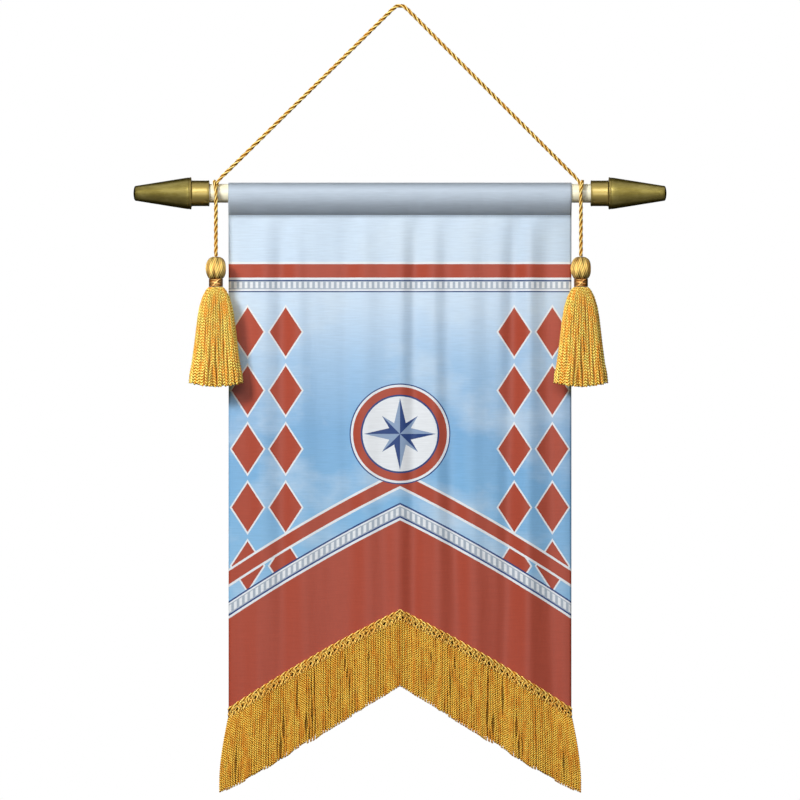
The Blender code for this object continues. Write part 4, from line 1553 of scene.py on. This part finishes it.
@dataclass
class Tassel:
    """A tassel: yarns looped over the cord's end, a wound band at the neck and a full skirt."""

    side: Side
    centre_y: float = -0.0219
    top_z: float = -0.3312
    head_radius: float = 0.01325
    head_height: float = 0.0306
    head_top: float = 0.0012
    head_ridges: int = 26
    ridge_height: float = 0.0008
    looseness: float = 0.00022
    cord_radius: float = 0.0034
    neck_radius: float = 0.0070
    band_height: float = 0.0104
    band_radius: float = 0.00950
    windings: int = 6
    winding_height: float = 0.0006
    thread_radius: float = 0.00115
    skirt_length: float = 0.1315
    skirt_depth: float = 0.0178
    skirt_flattening: float = 0.8
    collar_radius: float = 0.0098
    unevenness: float = 0.0009
    side_rise: float = 0.0055
    yarn_lay: float = 0.0076
    yarn_fill: float = 0.58
    yarn_groove: float = 0.46
    finest: float = 0.0007
    fattest: float = 0.0042
    waver: float = 0.05
    seed: int = 73

    @property
    def centre(self) -> Array:
        """The tassel's axis at the height of the origin."""
        return np.array([HITCH_X[self.side], self.centre_y, 0.0])

    def build_head(self, yarn: Material) -> None:
        """The head and the neck under the band.

        The head's reach is its radius times the sine of a turn from 31 to 149 degrees, to the power
        0.6. Ridges of yarn stand out of it by a sine of the angle that leans as it goes down.
        Bundles of yarn lean one way or the other, and cross over where a ripple changes sign.

        Args:
            yarn: the head's finish.
        """
        turn = np.radians(31) + np.radians(118) * np.linspace(0.0, 1.0, 30)
        radius = self.head_radius * np.sin(turn) ** 0.6
        fallen = (1 - np.cos(turn)) / (1 - math.cos(turn[-1]))
        drop = self.head_top + (self.head_height - 0.0003 - self.head_top) * fallen
        top = np.linspace(0.12, 0.92, 5)
        rise = self.head_top + (drop[0] - self.head_top) * top**2
        lead_in = joined(self.cord_radius + (radius[0] - self.cord_radius) * top, rise)
        neck = [(self.neck_radius, self.head_height), (self.neck_radius, self.head_height + self.band_height)]
        rows = np.concatenate([[(0.0024, self.head_top)], lead_in, joined(radius, drop), neck])
        reach, fall = rows[:, :1], rows[:, 1:]
        angle = TAU * np.arange(200) / 200
        down = fall / self.head_height
        change = smooth_share(0.9 + 1.6 * np.sin(2.0 * angle + 5.0 * down + 1.0) * np.sin(3.0 * angle - 2.0))
        left = np.abs(np.sin(0.5 * self.head_ridges * (angle + 0.9 * down)))
        right = np.abs(np.sin(0.5 * self.head_ridges * (angle - 0.7 * down)))
        swell = (left * change + right * (1 - change)) ** 0.7
        size = np.clip(reach / self.head_radius, 0, 1)
        loose = self.looseness * np.sin(3 * angle + 9 * down) * size
        reach = reach + self.ridge_height * size**2 * (swell - 0.6) + loose
        points = self.centre + polar(reach, angle, self.top_z - fall)
        # Painted highlight and shade: each ridge is lighter than the groove beside it, and the head is darker
        # towards its top at the cord and its foot at the band.
        ends = 3.4 * np.clip(1 - down / 0.42, 0, 1) + 3.4 * np.clip((down - 0.60) / 0.34, 0, 1)
        bundle = 0.8 * np.sin(7 * angle + 6 * down) + 0.6 * np.sin(11 * angle - 4 * down + 2)
        maker, word = MeshMaker(), self.side.word
        maker.add_tubes(points[None], fall.T, tones=(4.2 * swell - 3.1 - ends + bundle)[None])
        maker.build(f"tassel_head_{word}", [yarn], "tassel", f"tassel_{word}", 70)

    def build_band(self, thread: Material) -> None:
        """The wound thread: a ring whose outside rises and falls once for each winding, moving on by
        one winding in a turn, and a finishing thread drawn across its front.

        Args:
            thread: the band's finish.
        """
        low = self.top_z - self.head_height - self.band_height
        share = np.linspace(0.0, 1.0, 37)[:, None]
        angle = TAU * np.arange(72) / 72
        phase = math.pi * (self.windings * share + angle / TAU)
        high = self.winding_height
        reach = self.band_radius - high + high * np.abs(np.sin(phase)) ** 0.6
        inner = self.neck_radius + 0.0003 + 0 * angle
        rise = self.band_height * np.vstack([[[0.0]], share, [[1.0]]])
        points = self.centre + polar(np.vstack([inner, reach, inner]), angle, low + rise)
        maker, word = MeshMaker(), self.side.word
        # Painted highlight and shade: the band is lighter in front and darker at its sides.
        front = np.clip(-np.sin(angle), 0, 1) ** 4
        maker.add_tubes(points[None], rise.T, tones=2.4 * front - 3.0, ring=True)
        for lean in (1.0, -0.45):
            sweep = np.linspace(-0.75, 0.75, 20)
            rise = self.band_height * (0.5 + 0.45 * lean * np.sin(sweep * 2.0))
            path = self.centre + polar(self.band_radius + 0.0002, sweep - math.pi / 2, low + rise)
            radius = self.thread_radius * np.sin(np.linspace(0.25, math.pi - 0.25, 20)) ** 0.4
            directions = ring_directions(path[None], Z_WAY)
            rings = ply_rings(path[None], directions, radius[None], sweep[None] * 2, Section(8, 2, 0.3))
            # Painted highlight: the finishing thread is drawn light.
            maker.add_tubes(rings, (sweep * self.band_radius)[None], tones=3.4)
        maker.build(f"wound_band_{word}", [thread], "tassel_band", f"tassel_band_{word}")

    def skirt_sizes(self, drop: Array) -> tuple[Array, Array]:
        """Half width and half depth of the skirt at a drop: the width from the table, and the depth
        growing with a power of the width's spread.

        Args:
            drop: distances below the skirt's top.

        Returns:
            Half the width and half the depth at each.
        """
        half_width = np.interp(drop, SKIRT_DROPS, SKIRT_WIDTHS)
        spread = (half_width - self.collar_radius) / (SKIRT_WIDTHS[-1] - self.collar_radius)
        spread = np.clip(spread, 0.0, 1.0) ** self.skirt_flattening
        return half_width, self.collar_radius + (self.skirt_depth - self.collar_radius) * spread

    def add_layer(self, maker: MeshMaker, random: np.random.Generator, layer: Layer) -> None:
        """One layer of yarns, each running down the flaring skirt with a small waver of its own.

        The outermost layer is twisted two-ply yarn, and those that only fill it are plain rounds.
        The skirt ends in a shallow curve: yarns at its sides are shorter than those in front.

        Args:
            maker: gathers the skirt's mesh.
            random: the source of what differs from one to the next.
            layer: the layer's sizes.
        """
        count, share, tone = layer
        plied = share == 1.0
        angle = TAU * (np.arange(count) + random.uniform(-0.16, 0.16, count)) / count
        steps = int(self.skirt_length / self.yarn_lay * 8) if plied else 14
        down = np.concatenate([np.linspace(0.0, 0.985, steps), [0.992, 1.0]])
        length = self.skirt_length + random.uniform(-self.unevenness, self.unevenness, count)
        length = length - self.side_rise * np.cos(angle) ** 2 + 0.0012 - 0.004 * (1 - share)
        drop = length[:, None] * down
        half_width, half_depth = self.skirt_sizes(drop)
        pitch = math.pi * (half_width + half_depth) / count
        radius = np.clip(pitch * self.yarn_fill, self.finest, self.fattest)
        radius = radius * np.append(np.ones(steps), [0.8, 0.4])
        start, pace = random.uniform(0, 1, (count, 1)), random.uniform(0.6, 1.6, (count, 1))
        turn = angle[:, None] + self.waver * np.sin(TAU * (down * pace + start)) * down
        loose = random.normal(-0.0003, 0.0003, (count, 1)) * down
        x = (half_width * share - radius + loose) * np.cos(turn)
        y = (half_depth * share - radius + loose) * np.sin(turn)
        z = self.top_z - self.head_height - self.band_height - 0.0004 - drop
        # Neighbours are twisted opposite ways, which gives the V-shaped stitches of chainette yarn.
        # Its stitches are about 2 mm long, and are drawn nearly 4 mm long so that they show.
        way = np.where(np.arange(count) % 2, 1, -1)[:, None]
        turns = way * (start + drop / self.yarn_lay)
        section = Section(8, 2, self.yarn_groove, False) if plied else Section(6, turning=False)
        rings = ply_rings(self.centre + joined(x, y, z), LEVEL, radius, turns, section)
        # The layer's tone is painted shade for the inner layers; glints are random lighter and darker beads.
        glint = random.uniform(-0.7, 0.9, (count, len(down), 1))
        maker.add_tubes(rings, turns * self.yarn_lay, tone + glint + random.uniform(-0.5, 0.5, (count, 1, 1)))

    def build(self, head_yarn: Material, thread: Material, skirt_yarn: Material) -> None:
        """Makes the head, the skirt and the band; head and skirt stand for the tassel's solid.

        Args:
            head_yarn: the head's finish.
            thread: the band's finish.
            skirt_yarn: the skirt's finish.
        """
        self.build_head(head_yarn)
        skirt, random, word = MeshMaker(), np.random.default_rng(self.seed), self.side.word
        for layer in LAYERS:
            self.add_layer(skirt, random, layer)
        skirt.build(f"tassel_skirt_{word}", [skirt_yarn], "tassel", f"tassel_{word}")
        self.build_band(thread)


# Studio


class Use(Enum):
    """What a lamp does: it lights matt surfaces, or it is reflected in glossy ones."""

    LIGHT = "light"
    SHINE = "shine"


class Lamp(NamedTuple):
    """A soft box: where it stands, the height on the Z axis that it looks at, its sides in metres,
    its power in watts and what it is for."""

    name: str
    place: Triple
    aim_z: float
    size: tuple[float, float]
    power: float
    use: Use


LAMPS = (
    Lamp("key", (-2.0, -3.0, 1.4), -0.5, (0.9, 0.8), 150.0, Use.LIGHT),
    Lamp("front", (0.0, -3.6, 0.9), -0.5, (2.6, 0.8), 54.0, Use.LIGHT),
    Lamp("fill", (1.9, -3.2, -0.3), -0.5, (1.0, 1.2), 9.0, Use.LIGHT),
    Lamp("rear_left", (-0.9, 3.0, 1.3), -0.5, (1.4, 1.4), 95.0, Use.LIGHT),
    Lamp("rear_right", (1.0, 3.0, 0.5), -0.5, (1.4, 1.4), 75.0, Use.LIGHT),
    Lamp("top_card", (0.0, -1.0, 2.4), -0.3, (4.0, 3.4), 36.0, Use.SHINE),
    Lamp("high_card", (0.0, -2.9, 1.25), -0.25, (1.5, 1.1), 36.0, Use.SHINE),
    Lamp("wide_card", (0.0, -3.1, 0.7), -0.25, (3.6, 1.6), 18.0, Use.SHINE),
    Lamp("middle_card", (0.0, -3.2, -0.5), -0.25, (1.36, 1.0), 14.0, Use.SHINE),
    Lamp("low_card", (0.0, -2.6, -1.6), -0.25, (3.4, 2.6), 13.0, Use.SHINE),
    Lamp("rear_card", (0.0, 3.0, 0.4), -0.25, (2.4, 1.4), 9.0, Use.SHINE),
    Lamp("bottom_card", (0.0, -1.0, -3.0), -0.25, (3.4, 2.0), 6.0, Use.SHINE),
)


@dataclass
class Studio:
    """Camera, soft boxes, white surroundings and a plain pale floor."""

    view_width: float = 1.0664
    view_z: float = -0.5228
    distance: float = 8.0
    sensor: float = 36.0
    floor_z: float = -1.32
    floor_radius: float = 2.4

    def build_camera(self) -> None:
        """A long lens that looks straight at the banner's front."""
        data = bpy.data.cameras.new("camera")
        data.sensor_width = self.sensor
        data.lens = self.sensor * self.distance / self.view_width
        data.clip_end = 50.0
        camera = bpy.data.objects.new("camera", data)
        camera.location = (0.0, -self.distance, self.view_z)
        camera.rotation_euler = (math.pi / 2, 0.0, 0.0)
        bpy.context.scene.collection.objects.link(camera)
        bpy.context.scene.camera = camera

    def build_lamps(self) -> None:
        """Soft boxes, each turned to look at its aim."""
        for lamp in LAMPS:
            data = bpy.data.lights.new(lamp.name, "AREA")
            data.shape = "RECTANGLE"
            data.size, data.size_y = lamp.size
            data.energy = lamp.power
            light = bpy.data.objects.new(lamp.name, data)
            light.location = lamp.place
            way = Vector((0.0, 0.0, lamp.aim_z)) - Vector(lamp.place)
            light.rotation_euler = way.to_track_quat("-Z", "Y").to_euler()
            light.visible_diffuse = lamp.use is Use.LIGHT
            light.visible_glossy = lamp.use is Use.SHINE
            bpy.context.scene.collection.objects.link(light)

    def build_surroundings(self) -> None:
        """White surroundings that only the camera sees, so that the soft boxes do all the lighting."""
        world = bpy.data.worlds.new("white")
        world.use_nodes = True
        world.node_tree.nodes["Background"].inputs["Color"].default_value = WHITE
        world.cycles_visibility.diffuse = False
        world.cycles_visibility.glossy = False
        bpy.context.scene.world = world
        bpy.context.scene.view_settings.view_transform = "Standard"

    def build_floor(self, paper: Material) -> None:
        """A round plate of paper: rings of points about its middle.

        Args:
            paper: the floor's finish.
        """
        angle = TAU * np.arange(96) / 96
        radius = np.array([0.02, 0.6, 1.2, 1.8, self.floor_radius, self.floor_radius, 0.02])[:, None]
        height = self.floor_z - np.array([0, 0, 0, 0, 0, 0.01, 0.01])[:, None]
        maker = MeshMaker()
        maker.add_tubes(polar(radius, angle, height)[None], radius.T)
        floor = maker.build("floor", [paper], sharp_over=40)
        floor.visible_diffuse = False
        floor.visible_glossy = False
        floor.visible_shadow = False

    def build(self) -> None:
        """Builds the camera first, then the light and the floor."""
        self.build_camera()
        self.build_lamps()
        self.build_surroundings()
        self.build_floor(StudioPaper("matt_paper", roughness=0.9).build())


def clear_defaults() -> None:
    """Removes the cameras and lights that the session starts with."""
    for obj in [item for item in bpy.data.objects if item.type in ("CAMERA", "LIGHT")]:
        bpy.data.objects.remove(obj, do_unlink=True)


def main() -> None:
    """Builds the studio, the cord and then the other pieces."""
    logging.basicConfig(level=logging.INFO, format="%(name)s: %(message)s")
    clear_defaults()
    Studio().build()
    HangingCord().build(CORD_YARN.build())

    form = BannerForm()
    cloth = BannerCloth(form)
    front = PrintedSatin("printed_polyester_satin", 0.5, sheen=0.25, ior=1.46)
    back = PrintedSatin("printed_polyester_satin_back", 0.6, sheen=0.25, ior=1.46, show_through=0.25)
    panel = cloth.build_panel(front.build(), back.build())
    sewn = [cloth.build_stitches(SEWING_THREAD.build())]
    heading_yarn, strand_yarn = HEADING_YARN.build(), STRAND_YARN.build()
    for side in Side:
        sewn += BullionFringe(form, side).build(heading_yarn, strand_yarn)
    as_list(sewn)

    Rod().build(CreamLacquer("cream_lacquered_wood", 0.38, coat=0.2).build())
    brass = AntiqueBrass("antique_spun_brass", 0.40, metallic=1.0, coat=0.6).build()
    head_yarn, skirt_yarn, band_thread = HEAD_YARN.build(), SKIRT_YARN.build(), BAND_THREAD.build()
    for side in Side:
        Finial(side).build(brass)
        Tassel(side).build(head_yarn, band_thread, skirt_yarn)


if __name__ == "__main__":
    main()
